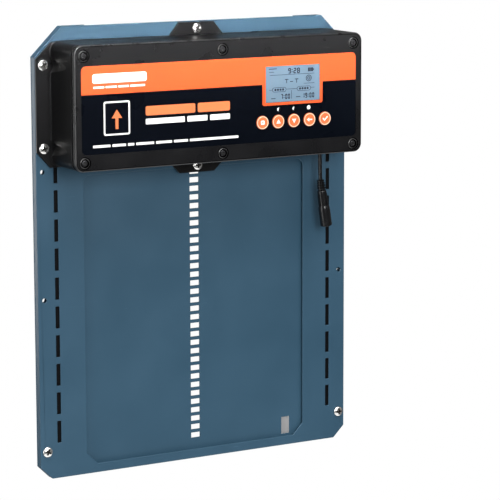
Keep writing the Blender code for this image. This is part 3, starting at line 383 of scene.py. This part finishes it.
def rounded(x0, z0, x1, z1, radius, steps=6):
    """A rounded rectangle, anticlockwise."""
    return (arc(x1 - radius, z0 + radius, radius, -90, 0, steps)
            + arc(x1 - radius, z1 - radius, radius, 0, 90, steps)
            + arc(x0 + radius, z1 - radius, radius, 90, 180, steps)
            + arc(x0 + radius, z0 + radius, radius, 180, 270, steps))


def circle(x, z, radius, steps=48):
    """A closed ring of points."""
    return arc(x, z, radius, 0, 360 - 360 / steps, steps - 1)


def housing_outline(inset, steps=10):
    """The housing's rounded outline, moved inwards by inset."""
    return rounded(cover_low.x + inset, cover_low.z + inset, cover_high.x - inset, cover_high.z - inset,
                   HOUSING_RADIUS - inset * 0.7, steps)


def rides(piece, body, *replaced, slot=None):
    """The piece moves with a body and stands for CAD nodes. Its slot argument is not used."""
    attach(piece, body)
    if replaced:
        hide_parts(*replaced)
    return piece


# ---- power lead ----------------------------------------------------------------------------------
def along(top, foot):
    """The place of a turned piece whose axis runs from foot up to top, with its origin at top."""
    return Matrix.Translation(top) @ (top - foot).to_track_quat("Z", "Y").to_matrix().to_4x4()


def build_lead():
    """The grommet, the short hanging cable, its ribbed sleeve and the barrel socket."""
    exit_point, end = Vector(CORD_ROUTE[0]), Vector(CORD_ROUTE[-1])
    bottom = cover_low.z
    profile = [(0, 0.0042), (0.0050, 0.0042), (0.0060, 0.0038), (0.0062, 0.0034), (0.0062, 0.0028),
               (0.0042, 0.0028), (0.0042, -0.0003), (0.0061, -0.0003), (0.0062, -0.0006), (0.0060, -0.0012),
               (0.0054, -0.0017), (0.0040, -0.0019), (0.0024, -0.0016), (0, -0.0015)]
    grommet = turned("cable_grommet", profile, "rubber",
                     Matrix.Translation((exit_point.x, exit_point.y, bottom)))
    rides(smooth(grommet), "frame", "lead_grommet", slot="rubber")
    sleeve_length = (end - JACK_TOP).length - 2 * GAP
    step = sleeve_length / SLEEVE_RINGS
    profile = [(0, sleeve_length), (0.0024, sleeve_length)]
    for i in range(SLEEVE_RINGS):
        high, outer = sleeve_length - i * step, 0.0042 + 0.0006 * i / (SLEEVE_RINGS - 1)
        profile += [(outer - 0.0004, high - step * 0.04), (outer, high - step * 0.16),
                    (outer, high - step * 0.52), (outer - 0.0004, high - step * 0.64),
                    (outer - 0.0013, high - step * 0.68)]
        profile += [(outer - 0.0013, high - step * (0.96 if i < SLEEVE_RINGS - 1 else 1.0))]
    profile += [(0, 0)]
    place = along(end, JACK_TOP)
    place.translation = JACK_TOP + (end - JACK_TOP).normalized() * GAP
    sleeve = turned("ribbed_sleeve", profile, "rubber", place, 40)
    rides(smooth(sleeve, 30), "frame", "jack_strain_relief", slot="rubber")
    socket = build_socket()
    curve = bpy.data.curves.new("lead_cable", "CURVE")
    curve.dimensions, curve.bevel_depth, curve.bevel_resolution = "3D", CORD_R, 6
    curve.use_fill_caps = True
    spline = curve.splines.new("POLY")
    spline.points.add(len(CORD_ROUTE) - 1)
    for point, spot in zip(spline.points, CORD_ROUTE):
        point.co = (*spot, 1.0)
    curve.materials.append(FINISHES["rubber"])
    cable = bpy.data.objects.new("lead_cable", curve)
    bpy.context.scene.collection.objects.link(cable)
    rides(cable, "frame", "power_lead", slot="rubber")


def build_socket():
    """The barrel socket with moulded grips, and its centre contact."""
    length = (JACK_BOTTOM - JACK_TOP).length - GAP
    place = along(JACK_TOP, JACK_BOTTOM)
    profile = [(0, 0.0), (0.0040, -0.0002), (0.0046, -0.0006), (0.0049, -0.0014), (0.0056, -0.0170),
               (0.0057, -0.0178), (0.0059, -0.0182), (0.0060, -0.0196), (0.0063, -0.0216),
               (0.0063, -length + 0.0010), (0.0061, -length + 0.0003), (0.0057, -length),
               (0.0034, -length), (0.0031, -length + 0.0004), (0.0031, -length + 0.0110),
               (0, -length + 0.0110)]
    body = turned("socket_body", profile, "rubber", place, 56)
    for i in range(SOCKET_GRIPS):
        groove = boxes("tool", [((0.0048, -0.0005, -0.0165), (0.0070, 0.0005, -0.0030))])
        groove.data.transform(place @ Matrix.Rotation(2 * math.pi * (i + 0.3) / SOCKET_GRIPS, 4, "Z"))
        cut(body, groove)
    rides(smooth(body, 30), "frame", "jack_body", slot="rubber")
    profile = [(0, -length + 0.0107), (0.0010, -length + 0.0107), (0.0010, -length + 0.0026),
               (0.0007, -length + 0.0018), (0, -length + 0.0016)]
    contact = turned("socket_contact", profile, "nickel", place, 24)
    rides(smooth(contact), "frame", "jack_contact", slot="nickel")
    return body, contact


# ---- housing -------------------------------------------------------------------------------------
def build_housing():
    """The open box with its flange, lugs, ears, scallops and screw posts."""
    back_y, rim_y = base_high.y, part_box("housing_gasket")[1].y + GAP
    flange_y, floor_y = back_y - FLANGE_T, back_y - FLOOR_T
    shell = plate("housing_shell", [housing_outline(0)], rim_y, back_y - FLANGE_T / 2, "housing_plastic")
    soften(shell, 0.0004, 2, 60)
    ear_low = middle("ear_screw_left_low").z - EAR_BELOW
    ear_high = middle("ear_screw_left_high").z + EAR_ABOVE
    low_z, top_z = cover_low.z - FLANGE_BELOW, cover_high.z + FLANGE_ABOVE
    half = [(LUG_HALF_W, base_low.z), (LUG_FOOT_LOW, low_z - GAP), (EAR_FOOT_LOW, low_z),
            (base_high.x, ear_low), (base_high.x, ear_high), (EAR_FOOT_TOP, top_z),
            (LUG_FOOT_TOP, top_z + 0.0002), (LUG_HALF_W, base_high.z)]
    flange = plate("flange", [half + [(-x, z) for x, z in reversed(half)]], flange_y, back_y)
    cut(shell, soften(flange, 0.0004, 2, 60), "UNION")
    # the ridge takes the cover's glossier plastic, a painted highlight line along the box's foot
    bead = plate("bead", [housing_outline(-BEAD)], flange_y - BEAD, flange_y + BEAD, "cover_plastic_and_bead_sheen")
    cut(shell, soften(bead, BEAD * 0.6, 2, 60), "UNION")
    # the scallops are lined with the darker, glossier copy of the plastic: painted shade and sheen
    for name in FLANGE_SCREWS:
        cut(shell, rod(middle(name), SCALLOP_R, SCALLOP_TIP_Y, flange_y - 0.0001, 64, SCALLOP_TIP_R,
                       "scallop_painted_shade_and_sheen"))
    cavity = plate("cavity", [housing_outline(HOUSING_WALL)], rim_y - 0.002, floor_y)
    for name in FLANGE_SCREWS:
        cut(cavity, rod(middle(name), SCALLOP_R + HOUSING_WALL, SCALLOP_TIP_Y, flange_y + 0.004, 64,
                        SCALLOP_TIP_R + HOUSING_WALL))
    cut(shell, cavity)
    for name in COVER_SCREWS:
        spot = middle(name)
        cut(shell, rod(spot, POST_R, base_low.y, floor_y + 0.0005), "UNION")
        cut(shell, rod(spot, POST_HOLE_R, base_low.y - 0.002, rim_y + POST_HOLE_DEPTH))
    for name in FLANGE_SCREWS + LUG_SCREWS:
        cut(shell, rod(middle(name), SCREW_HOLE_R, back_y - 0.006, back_y + 0.002))
    case_low, case_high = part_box("gearbox_case")
    window = ((MOTOR_WINDOW_LEFT, back_y - 0.004, case_low.z + WINDOW_MARGIN),
              (MOTOR_WINDOW_RIGHT, back_y + 0.001, case_high.z - WINDOW_MARGIN))
    cut(shell, boxes("tool", [window]))
    hole = [(0, 0.006), (GROMMET_HOLE_R, 0.006), (GROMMET_HOLE_R, -0.003), (0, -0.003)]
    cut(shell, turned("tool", hole, None, Matrix.Translation((*CORD_ROUTE[0][:2], cover_low.z)), 32))
    rides(smooth(shell), "frame", "housing_base", slot="housing_plastic")


def control_holes():
    """The outlines of the holes for the keys and the small round windows."""
    spots = [(middle(f"button_{name}"), BUTTON_R) for name in BUTTONS]
    spots += [(middle(name), LIGHT_R) for name in LIGHTS]
    return [circle(spot.x, spot.z, radius + GAP) for spot, radius in spots]


def display_hole():
    """The outline of the hole for the display."""
    return rounded(lcd_low.x - GAP, lcd_low.z - GAP, lcd_high.x + GAP, lcd_high.z + GAP, DISPLAY_CORNER, 2)


def build_cover():
    """The front cover with its rounded rim, groove, label recess and stepped screw sockets; painted
    highlights on the rim and socket rings, painted shade in the groove and sockets.
    """
    face_y, back_y = cover_low.y, cover_high.y
    skin_y = face_y + COVER_SKIN
    cover = plate("cover_shell", [housing_outline(0)], face_y, back_y, "cover_plastic_and_bead_sheen")
    # the rim's rounding takes the lighter edge finish, a painted highlight
    soften(cover, COVER_EDGE, 3, 60, "painted_highlight_edge")
    cut(cover, plate("tool", [housing_outline(HOUSING_WALL)], skin_y, back_y + 0.002))
    groove = [housing_outline(GROOVE_INSET), list(reversed(housing_outline(GROOVE_INSET + GROOVE_W)))]
    # the groove's walls take the near-black lining, painted shade
    cut(cover, plate("tool", groove, face_y - 0.001, face_y + GROOVE_DEPTH, "painted_groove_shade"))
    recess = rounded(label_low.x - GAP, label_low.z - GAP, label_high.x + GAP, label_high.z + GAP,
                     LABEL_RADIUS)
    cut(cover, plate("tool", [recess], face_y - 0.001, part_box("label_lower")[1].y + GAP))
    cut(cover, plate("tool", [display_hole(), *control_holes()], face_y - 0.001, skin_y + 0.001))
    for name in COVER_SCREWS:
        spot = middle(name)
        place, ring = facing(spot.x, face_y, spot.z), SOCKET_R - SOCKET_GROOVE_W
        socket = [(0, 0.001), (SOCKET_R, 0.001), (SOCKET_R, -SOCKET_DEPTH), (0, -SOCKET_DEPTH)]
        step = [(0, -0.0001), (ring - 0.0005, -0.0001), (ring, -0.0005), (ring, -0.0022), (0, -0.0022)]
        bore = [(0, 0.001), (SOCKET_BORE_R + 0.0005, 0.001), (SOCKET_BORE_R + 0.0005, -0.0002),
                (SOCKET_BORE_R, -0.0006), (SOCKET_BORE_R, -SOCKET_DEPTH), (0.0019, -SOCKET_DEPTH),
                (0.0019, -0.004), (0, -0.004)]
        # the socket's walls and bore take the near-black lining, painted shade
        cut(cover, turned("tool", socket, "painted_groove_shade", place))
        # the ring step in each socket takes the lighter edge finish, a painted highlight
        cut(cover, turned("tool", step, "painted_highlight_edge", place), "UNION")
        cut(cover, turned("tool", bore, "painted_groove_shade", place))
    rides(smooth(cover), "frame", "front_cover", slot="housing_plastic")


# ---- label ---------------------------------------------------------------------------------------
def build_label():
    """The two films of the face label."""
    left, right, low, high = label_low.x, label_high.x, label_low.z, label_high.z
    back_y, r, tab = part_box("label_lower")[1].y, LABEL_RADIUS, TAB_CHAMFER
    tab_left, tab_right = lcd_low.x - TAB_LEFT_MARGIN, lcd_high.x + TAB_RIGHT_MARGIN
    upper = [(left, split_z), (tab_left, split_z), (tab_left, tab_low_z + tab),
             (tab_left + tab, tab_low_z), (tab_right - tab, tab_low_z), (tab_right, tab_low_z + tab),
             (tab_right, split_z), (right, split_z)]
    upper += arc(right - r, high - r, r, 0, 90, 10) + arc(left + r, high - r, r, 90, 180, 10)
    film = plate("label_film_upper", [upper, list(reversed(display_hole()))], label_face_y, back_y,
                 "label_orange")
    rides(smooth(film), "frame", "label_upper", slot="label_orange")
    g = GAP
    lower = arc(left + r, low + r, r, 180, 270, 10) + arc(right - r, low + r, r, 270, 360, 10)
    lower += [(right, split_z - g), (tab_right + g, split_z - g), (tab_right + g, tab_low_z + tab),
              (tab_right - tab, tab_low_z - g), (tab_left + tab, tab_low_z - g),
              (tab_left - g, tab_low_z + tab), (tab_left - g, split_z - g), (left, split_z - g)]
    film = plate("label_film_lower", [lower, *(list(reversed(hole)) for hole in control_holes())],
                 label_face_y, back_y, "label_black")
    rides(smooth(film), "frame", "label_lower", slot="label_black")


def printed(name, loops, finish, slot, body="frame", face_y=None):
    """A mark printed on a face, as a very thin plate."""
    face_y = label_face_y if face_y is None else face_y
    mark = plate(name, loops, face_y - PRINT_T, face_y - PRINT_SEAT, finish)
    return rides(mark, body, slot=slot)


def bars(spans, z0, z1, radius=0.0004):
    """A row of rounded bars between two heights."""
    return [rounded(x0, z0, x1, z1, radius, 2) for x0, x1 in spans]


def build_marks():
    """Generic marks where the face label is printed: plain bars for lines of words, and a door sign."""
    x0, x1 = label_low.x + 0.0120, label_low.x + 0.0705
    top = bars([(x0, x0 + 0.0600)], split_z + 0.0110, split_z + 0.0205, 0.0022)
    tag_runs = ((0.0010, 0.0130), (0.0145, 0.0270), (0.0285, 0.0400), (0.0415, 0.0580))
    tag = bars([(x0 + a, x0 + b) for a, b in tag_runs], split_z + 0.0060, split_z + 0.0080)
    printed("label_top_marks", top + tag, "print_white", "label_orange")
    title = bars([(x1, x1 + 0.0560), (x1 + 0.0590, x1 + 0.0960)], split_z - 0.0240, split_z - 0.0145,
                 0.0015)
    printed("label_title_marks", title, "print_orange", "label_orange")
    words = bars([(x1, x1 + 0.0440), (x1 + 0.0470, x1 + 0.0700), (x1 + 0.0730, x1 + 0.0960)],
                 split_z - 0.0328, split_z - 0.0272, 0.0008)
    printed("label_subtitle_marks", words, "print_white", "label_black")
    runs, x = [], x0
    for length in (0.0190, 0.0150, 0.0070, 0.0200, 0.0180, 0.0160, 0.0560):
        runs.append((x, x + length))
        x += length + 0.0022
    small = bars(runs, label_low.z + 0.0065, label_low.z + 0.0090)
    printed("label_small_marks", small, "print_white", "label_black")
    build_door_sign(x0 + 0.0120, split_z - 0.0415)


def build_door_sign(x, z):
    """A plain sign: a doorway with an arrow pointing up."""
    w, h, t = 0.0290, 0.0340, 0.0016
    frame_loops = [rounded(x, z, x + w, z + h, 0.0020, 4),
                   list(reversed(rounded(x + t, z + t, x + w - t, z + h - t, 0.0010, 4)))]
    printed("door_sign_frame", frame_loops, "print_white", "label_black")
    cx, low = x + w / 2, z + 0.0060
    arrow = [(cx - 0.0016, low), (cx + 0.0016, low), (cx + 0.0016, low + 0.0110),
             (cx + 0.0058, low + 0.0110), (cx, low + 0.0195), (cx - 0.0058, low + 0.0110),
             (cx - 0.0016, low + 0.0110)]
    printed("door_sign_arrow", [arrow], "print_orange", "label_orange")


# ---- display -------------------------------------------------------------------------------------
SEGMENTS = {"0": "abcdef", "1": "bc", "2": "abdeg", "3": "abcdg", "7": "abc", "8": "abcdefg", "9": "abcdfg"}


def digit(value, x, z, w, h, t):
    """The lit segments of a seven-segment digit whose lower left corner is at x, z."""
    g, mid = t * 0.2, z + h / 2
    places = {"a": (x + t / 2, z + h - t, x + w - t / 2, z + h), "d": (x + t / 2, z, x + w - t / 2, z + t),
              "g": (x + t / 2, mid - t / 2, x + w - t / 2, mid + t / 2),
              "b": (x + w - t, mid + g, x + w, z + h - t / 2), "c": (x + w - t, z + t / 2, x + w, mid - g),
              "f": (x, mid + g, x + t, z + h - t / 2), "e": (x, z + t / 2, x + t, mid - g)}
    return [places[segment] for segment in SEGMENTS[value]]


def clock(text, x, z, w, h, t):
    """The boxes of a time such as 7:00, from its lower left corner."""
    found = []
    for letter in text:
        if letter == ":":
            found += [(x, z + h * k - t / 2, x + t, z + h * k + t / 2) for k in (0.3, 0.7)]
            x += t * 2
        else:
            found += digit(letter, x, z, w, h, t)
            x += w + t * 0.9
    return found


def build_display():
    """The pane of the display and what it shows."""
    pane = soften(boxes("display_pane", [(lcd_low, lcd_high)], "lcd_clear"), 0.0004, 2, 40)
    rides(smooth(pane), "frame", "lcd_window", slot="lcd_clear")
    w, h = lcd_high.x - lcd_low.x, lcd_high.z - lcd_low.z
    thin, fine = 0.0007, 0.0004

    def at(u, v):
        """The place of a fraction of the display's width and height."""
        return lcd_low.x + u * w, lcd_low.z + v * h

    def line(u0, u1, v, thickness):
        """A level line as a box."""
        x, z = at(u0, v)
        return (x, z - thickness / 2, x + (u1 - u0) * w, z + thickness / 2)

    rects = clock("9:28", *at(0.41, 0.78), 0.0034, 0.0056, 0.0010)
    rects += clock("7:00", *at(0.275, 0.075), 0.0025, 0.0054, 0.0009)
    rects += clock("19:00", *at(0.675, 0.075), 0.0025, 0.0052, 0.0009)
    rects += [line(0.07, 0.90, 0.755, fine), line(0.70, 0.90, 0.485, fine), line(0.38, 0.574, 0.350, fine),
              line(0.831, 0.90, 0.360, fine), line(0.06, 0.117, 0.345, fine), line(0.35, 0.415, 0.62, thin),
              line(0.445, 0.50, 0.555, thin), line(0.535, 0.60, 0.62, thin), line(0.054, 0.20, 0.93, thin),
              line(0.06, 0.15, 0.84, fine), line(0.094, 0.176, 0.105, thin), line(0.555, 0.637, 0.12, thin)]
    uprights = ((0.473, 0.075, 0.31, fine), (0.382, 0.515, 0.62, thin), (0.567, 0.515, 0.62, thin))
    for u, low, high, width in uprights:
        x, z = at(u, low)
        rects.append((x - width / 2, z, x + width / 2, z + (high - low) * h))
    x, z = at(0.78, 0.81)
    rects += [(x + i * 0.0016, z, x + i * 0.0016 + 0.0013, z + 0.0040) for i in range(4)]
    rects.append((x + 0.0064, z + 0.0012, x + 0.0072, z + 0.0028))
    ink = boxes("display_ink", [((a, label_face_y - PRINT_T, b), (c, label_face_y - PRINT_SEAT, d))
                                for a, b, c, d in rects], "lcd_ink")
    rides(ink, "frame", slot="label_black")
    loops = []
    for u in (0.117, 0.574):
        x, z = at(u, 0.28)
        inner = rounded(x + fine, z + fine, x + w * 0.257 - fine, z + h * 0.13 - fine, 0.0019, 5)
        loops += [rounded(x, z, x + w * 0.257, z + h * 0.13, 0.0022, 5), list(reversed(inner))]
    x, z = at(0.793, 0.625)
    for outer in (0.0034, 0.0017):
        loops += [circle(x, z, outer, 32), list(reversed(circle(x, z, outer - 0.0007, 32)))]
    printed("display_signs", loops, "lcd_ink", "label_black")
    build_word_bars(at, w, h)


def build_word_bars(at, w, h):
    """Small bars that stand for the two words inside the display's signs."""
    found = []
    for u in (0.158, 0.615):
        x, z = at(u, 0.318)
        found += [rounded(x + i * w * 0.047, z, x + i * w * 0.047 + w * 0.032, z + h * 0.055, 0.0003, 2)
                  for i in range(4)]
    printed("display_words", found, "lcd_ink", "label_black")


# ---- keys and lights -----------------------------------------------------------------------------
def key_icon(name, x, z):
    """The outline of a key's sign."""
    if name == "settings":
        return [rounded(x - 0.0022, z - 0.0022, x + 0.0022, z + 0.0022, 0.0009, 3),
                list(reversed(circle(x, z, 0.0009, 16)))]
    if name in ("up", "down"):
        s = 1 if name == "up" else -1
        return [[(x - 0.0026, z - s * 0.0019), (x + 0.0026, z - s * 0.0019), (x, z + s * 0.0026)]]
    if name == "back":
        return [[(x - 0.0034, z), (x - 0.0006, z - 0.0022), (x - 0.0006, z - 0.0007),
                 (x + 0.0030, z - 0.0007), (x + 0.0030, z + 0.0007), (x - 0.0006, z + 0.0007),
                 (x - 0.0006, z + 0.0022)]]
    return [[(x - 0.0032, z), (x - 0.0022, z + 0.0010), (x - 0.0008, z - 0.0006), (x + 0.0024, z + 0.0026),
             (x + 0.0034, z + 0.0016), (x - 0.0008, z - 0.0026)]]


def build_keys():
    """Five round keys, each with a pale rim and a sign."""
    for name in BUTTONS:
        low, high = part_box(f"button_{name}")
        x, z, seat_y = (low.x + high.x) / 2, (low.z + high.z) / 2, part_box("front_cover")[0].y + KEY_SEAT
        front, body = seat_y - low.y - PRINT_T, f"{name}_key"
        cap = [(0, front), (BUTTON_R - 0.0003, front), (BUTTON_R - 0.0001, front - 0.0001),
               (BUTTON_R, front - 0.0003), (BUTTON_R, 0.0), (0.0082, 0.0), (0.0082, -0.0011),
               (0.0020, -0.0011), (0.0020, -0.0047), (0, -0.0047)]
        key = turned(f"key_{name}", cap, "button_orange", facing(x, seat_y, z), 56)
        rides(smooth(key), body, f"button_{name}", slot="button_orange")
        rim = [circle(x, z, BUTTON_R - 0.0003), list(reversed(circle(x, z, BUTTON_R - 0.0011)))]
        face_y = low.y + PRINT_T
        printed(f"key_rim_{name}", rim, "print_cream", "button_orange", body, face_y)
        printed(f"key_sign_{name}", key_icon(name, x, z), "print_white", "button_orange", body, face_y)


def build_lights():
    """Three small windows: two smoked ones with a painted glint, and a white one over the light sensor."""
    for name in LIGHTS:
        low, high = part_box(name)
        x, z, front = (low.x + high.x) / 2, (low.z + high.z) / 2, low.y
        clear = name == "light_sensor"
        profile = [(0, 0.0), (LIGHT_R * 0.5, -0.0001), (LIGHT_R * 0.85, -0.0004), (LIGHT_R, -0.0010),
                   (LIGHT_R, -0.0032), (0.0032, -0.0032), (0.0032, -0.0042), (0, -0.0042)]
        finish = "light_pipe" if clear else "light_dark"
        lens = turned(f"{name}_lens", profile, finish, facing(x, front, z), 40)
        rides(smooth(lens), "frame", name, slot="light_pipe")
        if not clear:
            # a white half-disc on each smoked window stands for a reflection: a painted glint
            painted_glint = arc(x, z, LIGHT_R * 0.78, 75, 255, 16)
            printed(f"{name}_spot", [painted_glint], "light_pipe", "light_pipe", face_y=front + 0.00002 + PRINT_T)


# ---- screws --------------------------------------------------------------------------------------
def cross_tool(reach, depth, place, finish):
    """A cross recess that narrows towards its floor."""
    levels = ((reach * 0.35, reach * 0.16, -depth), (reach, reach * 0.27, 0.0), (reach, reach * 0.27, 0.001))
    quarter_turns = ((1, 0), (0, 1), (-1, 0), (0, -1))
    bm = bmesh.new()
    rings = []
    for tip, half, height in levels:
        corners = [(tip, -half), (tip, half), (half, half)]
        ring = [(x * c - y * s, x * s + y * c) for c, s in quarter_turns for x, y in corners]
        rings.append([bm.verts.new((x, y, height)) for x, y in ring])
    for first, second in zip(rings, rings[1:]):
        for i in range(len(first)):
            j = (i + 1) % len(first)
            bm.faces.new((first[i], first[j], second[j], second[i]))
    bm.faces.new(list(reversed(rings[0])))
    bm.faces.new(rings[-1])
    bmesh.ops.transform(bm, verts=bm.verts, matrix=place)
    mesh = bpy.data.meshes.new("tool")
    bm.to_mesh(mesh)
    bm.free()
    return shown("tool", mesh, finish)


def cross_screw(name, label, finish, recess_shade_finish, head_h, rim, reach, depth):
    """A cross-head screw that stands for a CAD screw. The rim runs out along its head as (radius, height)."""
    low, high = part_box(name)
    spot, head_r, seat_y = (low + high) / 2, (high.x - low.x) / 2, low.y + head_h
    shank, shank_r = high.y - seat_y, 0.0020 if finish == "nickel" else 0.0014
    profile = [(0, head_h)] + [(head_r * radius, head_h * height) for radius, height in rim]
    profile += [(shank_r, 0), (shank_r, -shank + 0.0008), (shank_r - 0.0006, -shank), (0, -shank)]
    place = facing(spot.x, seat_y, spot.z)
    screw = turned(f"{name}_{label}", profile, finish, place, 48)
    turn = Matrix.Rotation(math.radians(sum(map(ord, name)) * 37 % 90), 4, "Z")
    start = Matrix.Translation((0, 0, head_h * 0.97))
    # the cross recess is lined with the dark copy of the screw's metal, painted shade
    cut(screw, cross_tool(head_r * reach, depth, place @ turn @ start, recess_shade_finish))
    rides(smooth(screw, 30), "frame", name, slot=finish)


def build_screws():
    """Domed bright screws on the flange and the frame, flat black screws in the cover."""
    dome = [(math.sin(math.radians(a)) * 0.98, 0.34 + 0.66 * math.cos(math.radians(a)))
            for a in (20, 40, 60, 75, 88)]
    dome += [(1, 0.22), (0.98, 0)]
    for name in FLANGE_SCREWS + LUG_SCREWS + CORNER_SCREWS:
        cross_screw(name, "bright", "nickel", "nickel_painted_recess_shade", 0.0026, dome, 0.70, 0.0016)
    flat = [(0.70, 1), (0.88, 0.92), (0.97, 0.72), (1, 0.45), (1, 0)]
    for name in COVER_SCREWS:
        cross_screw(name, "black", "black_steel", "black_painted_recess_shade", 0.0012, flat, 0.62, 0.0008)


# ---- CAD pieces that stay ------------------------------------------------------------------------
KEPT = {
    "front_plate": ("painted_sheet", 0.0007), "rear_frame": ("painted_sheet", 0.0003),
    "door_panel": ("painted_sheet", 0.0003), "left_guide": ("guide_plastic", 0.0003),
    "right_guide": ("guide_plastic", 0.0003), "door_magnet": ("magnet", 0.0005),
    "housing_gasket": ("rubber", 0.0), "lcd_module": ("lcd_grey", 0.0003),
    "control_board": ("board_green", 0.0), "open_position_sensor": ("label_black", 0.0003),
    "battery_holder": ("guide_plastic", 0.0003),
    "battery_1": ("battery", 0.0003), "battery_2": ("battery", 0.0003), "battery_3": ("battery", 0.0003),
    "battery_4": ("battery", 0.0003), "motor": ("steel", 0.0003), "gearbox_case": ("guide_plastic", 0.0003),
    "gearbox_lid": ("guide_plastic", 0.0003), "bearing_block": ("guide_plastic", 0.0003),
    "left_bush": ("bronze", 0.0), "right_bush": ("bronze", 0.0), "output_shaft": ("steel", 0.0003),
    "idler_pin": ("steel", 0.0002), "motor_pinion": ("steel", 0.0), "idler_gear": ("acetal", 0.0),
    "output_gear": ("acetal", 0.0), "drive_pinion": ("acetal", 0.0),
}


def finish_kept():
    """Gives the CAD pieces that stay their finishes, and rounds their edges."""
    for name, (finish, width) in KEPT.items():
        obj = nodes[name]
        for place in obj.material_slots:
            place.material = FINISHES[finish]
        if not width:
            continue
        weld = obj.modifiers.new("weld", "WELD")
        weld.merge_threshold = 0.000002
        bevel = obj.modifiers.new("edges", "BEVEL")
        bevel.width, bevel.segments = width, 2
        bevel.limit_method, bevel.angle_limit = "ANGLE", math.radians(40)
        bevel.use_clamp_overlap = False
        bevel.harden_normals = True


# ---- surroundings --------------------------------------------------------------------------------
def place_light(name, kind, spot, aim, **settings):
    """A light at a spot, turned towards an aim."""
    data = bpy.data.lights.new(name, kind)
    for key, value in settings.items():
        setattr(data, key, value)
    light = bpy.data.objects.new(name, data)
    bpy.context.scene.collection.objects.link(light)
    light.location = spot
    light.rotation_euler = (Vector(aim) - Vector(spot)).to_track_quat("-Z", "Y").to_euler()


LIGHTING = (
    ("overhead", "SUN", (-0.12, -0.42, 1.25), (0, 0, 0.25), {"energy": 2.45, "angle": math.radians(42)}),
    ("key", "AREA", (-0.30, -1.75, 0.72), (0, 0, 0.20),
     {"shape": "RECTANGLE", "size": 0.7, "size_y": 0.8, "energy": 28}),
    ("left_card", "AREA", (-1.25, -0.28, 0.35), (-0.15, -0.04, 0.30),
     {"shape": "RECTANGLE", "size": 0.5, "size_y": 1.4, "energy": 9}),
    ("top_beam", "AREA", (0, -1.10, 0.90), (0, 0, 0.49),
     {"shape": "RECTANGLE", "size": 0.5, "size_y": 0.05, "energy": 0.70, "spread": math.radians(16)}),
    ("high_card", "AREA", (0, -0.35, 1.50), (0, -0.04, 0.45),
     {"shape": "RECTANGLE", "size": 0.9, "size_y": 0.30, "energy": 9}),
    ("right_strip", "AREA", (0.30, -0.62, 0.46), (0, -0.07, 0.43),
     {"shape": "RECTANGLE", "size": 0.9, "size_y": 0.10, "energy": 1.2}),
    ("back_fill", "AREA", (-0.25, 1.70, 0.15), (0, 0, 0.30), {"shape": "DISK", "size": 1.0, "energy": 16}),
)


def build_floor():
    """A pale floor well below the door."""
    mesh = bpy.data.meshes.new("floor")
    bm = bmesh.new()
    bmesh.ops.create_grid(bm, x_segments=8, y_segments=8, size=FLOOR_HALF)
    bm.to_mesh(mesh)
    bm.free()
    floor = shown("floor", mesh, "floor")
    floor.location = FLOOR_PLACE


def build_backdrop():
    """A white world that the camera sees at full strength, and that lights the door softly."""
    world = bpy.data.worlds.new("studio")
    bpy.context.scene.world = world
    world.use_nodes = True
    tree = world.node_tree
    light_path = tree.nodes.new("ShaderNodeLightPath")
    strength = tree.nodes.new("ShaderNodeMapRange")
    strength.inputs["To Min"].default_value = BACKDROP_LIGHT
    strength.inputs["To Max"].default_value = BACKDROP_SEEN
    tree.links.new(light_path.outputs["Is Camera Ray"], strength.inputs["Value"])
    tree.links.new(strength.outputs["Result"], tree.nodes["Background"].inputs["Strength"])
    tree.nodes["Background"].inputs["Color"].default_value = (1, 1, 1, 1)


build_camera()
build_lead()
finish_kept()
build_housing()
build_cover()
build_label()
build_marks()
build_display()
build_keys()
build_lights()
build_screws()
build_floor()
build_backdrop()
for name, kind, spot, aim, settings in LIGHTING:
    place_light(name, kind, spot, aim, **settings)
bpy.context.scene.view_settings.view_transform = "Standard"
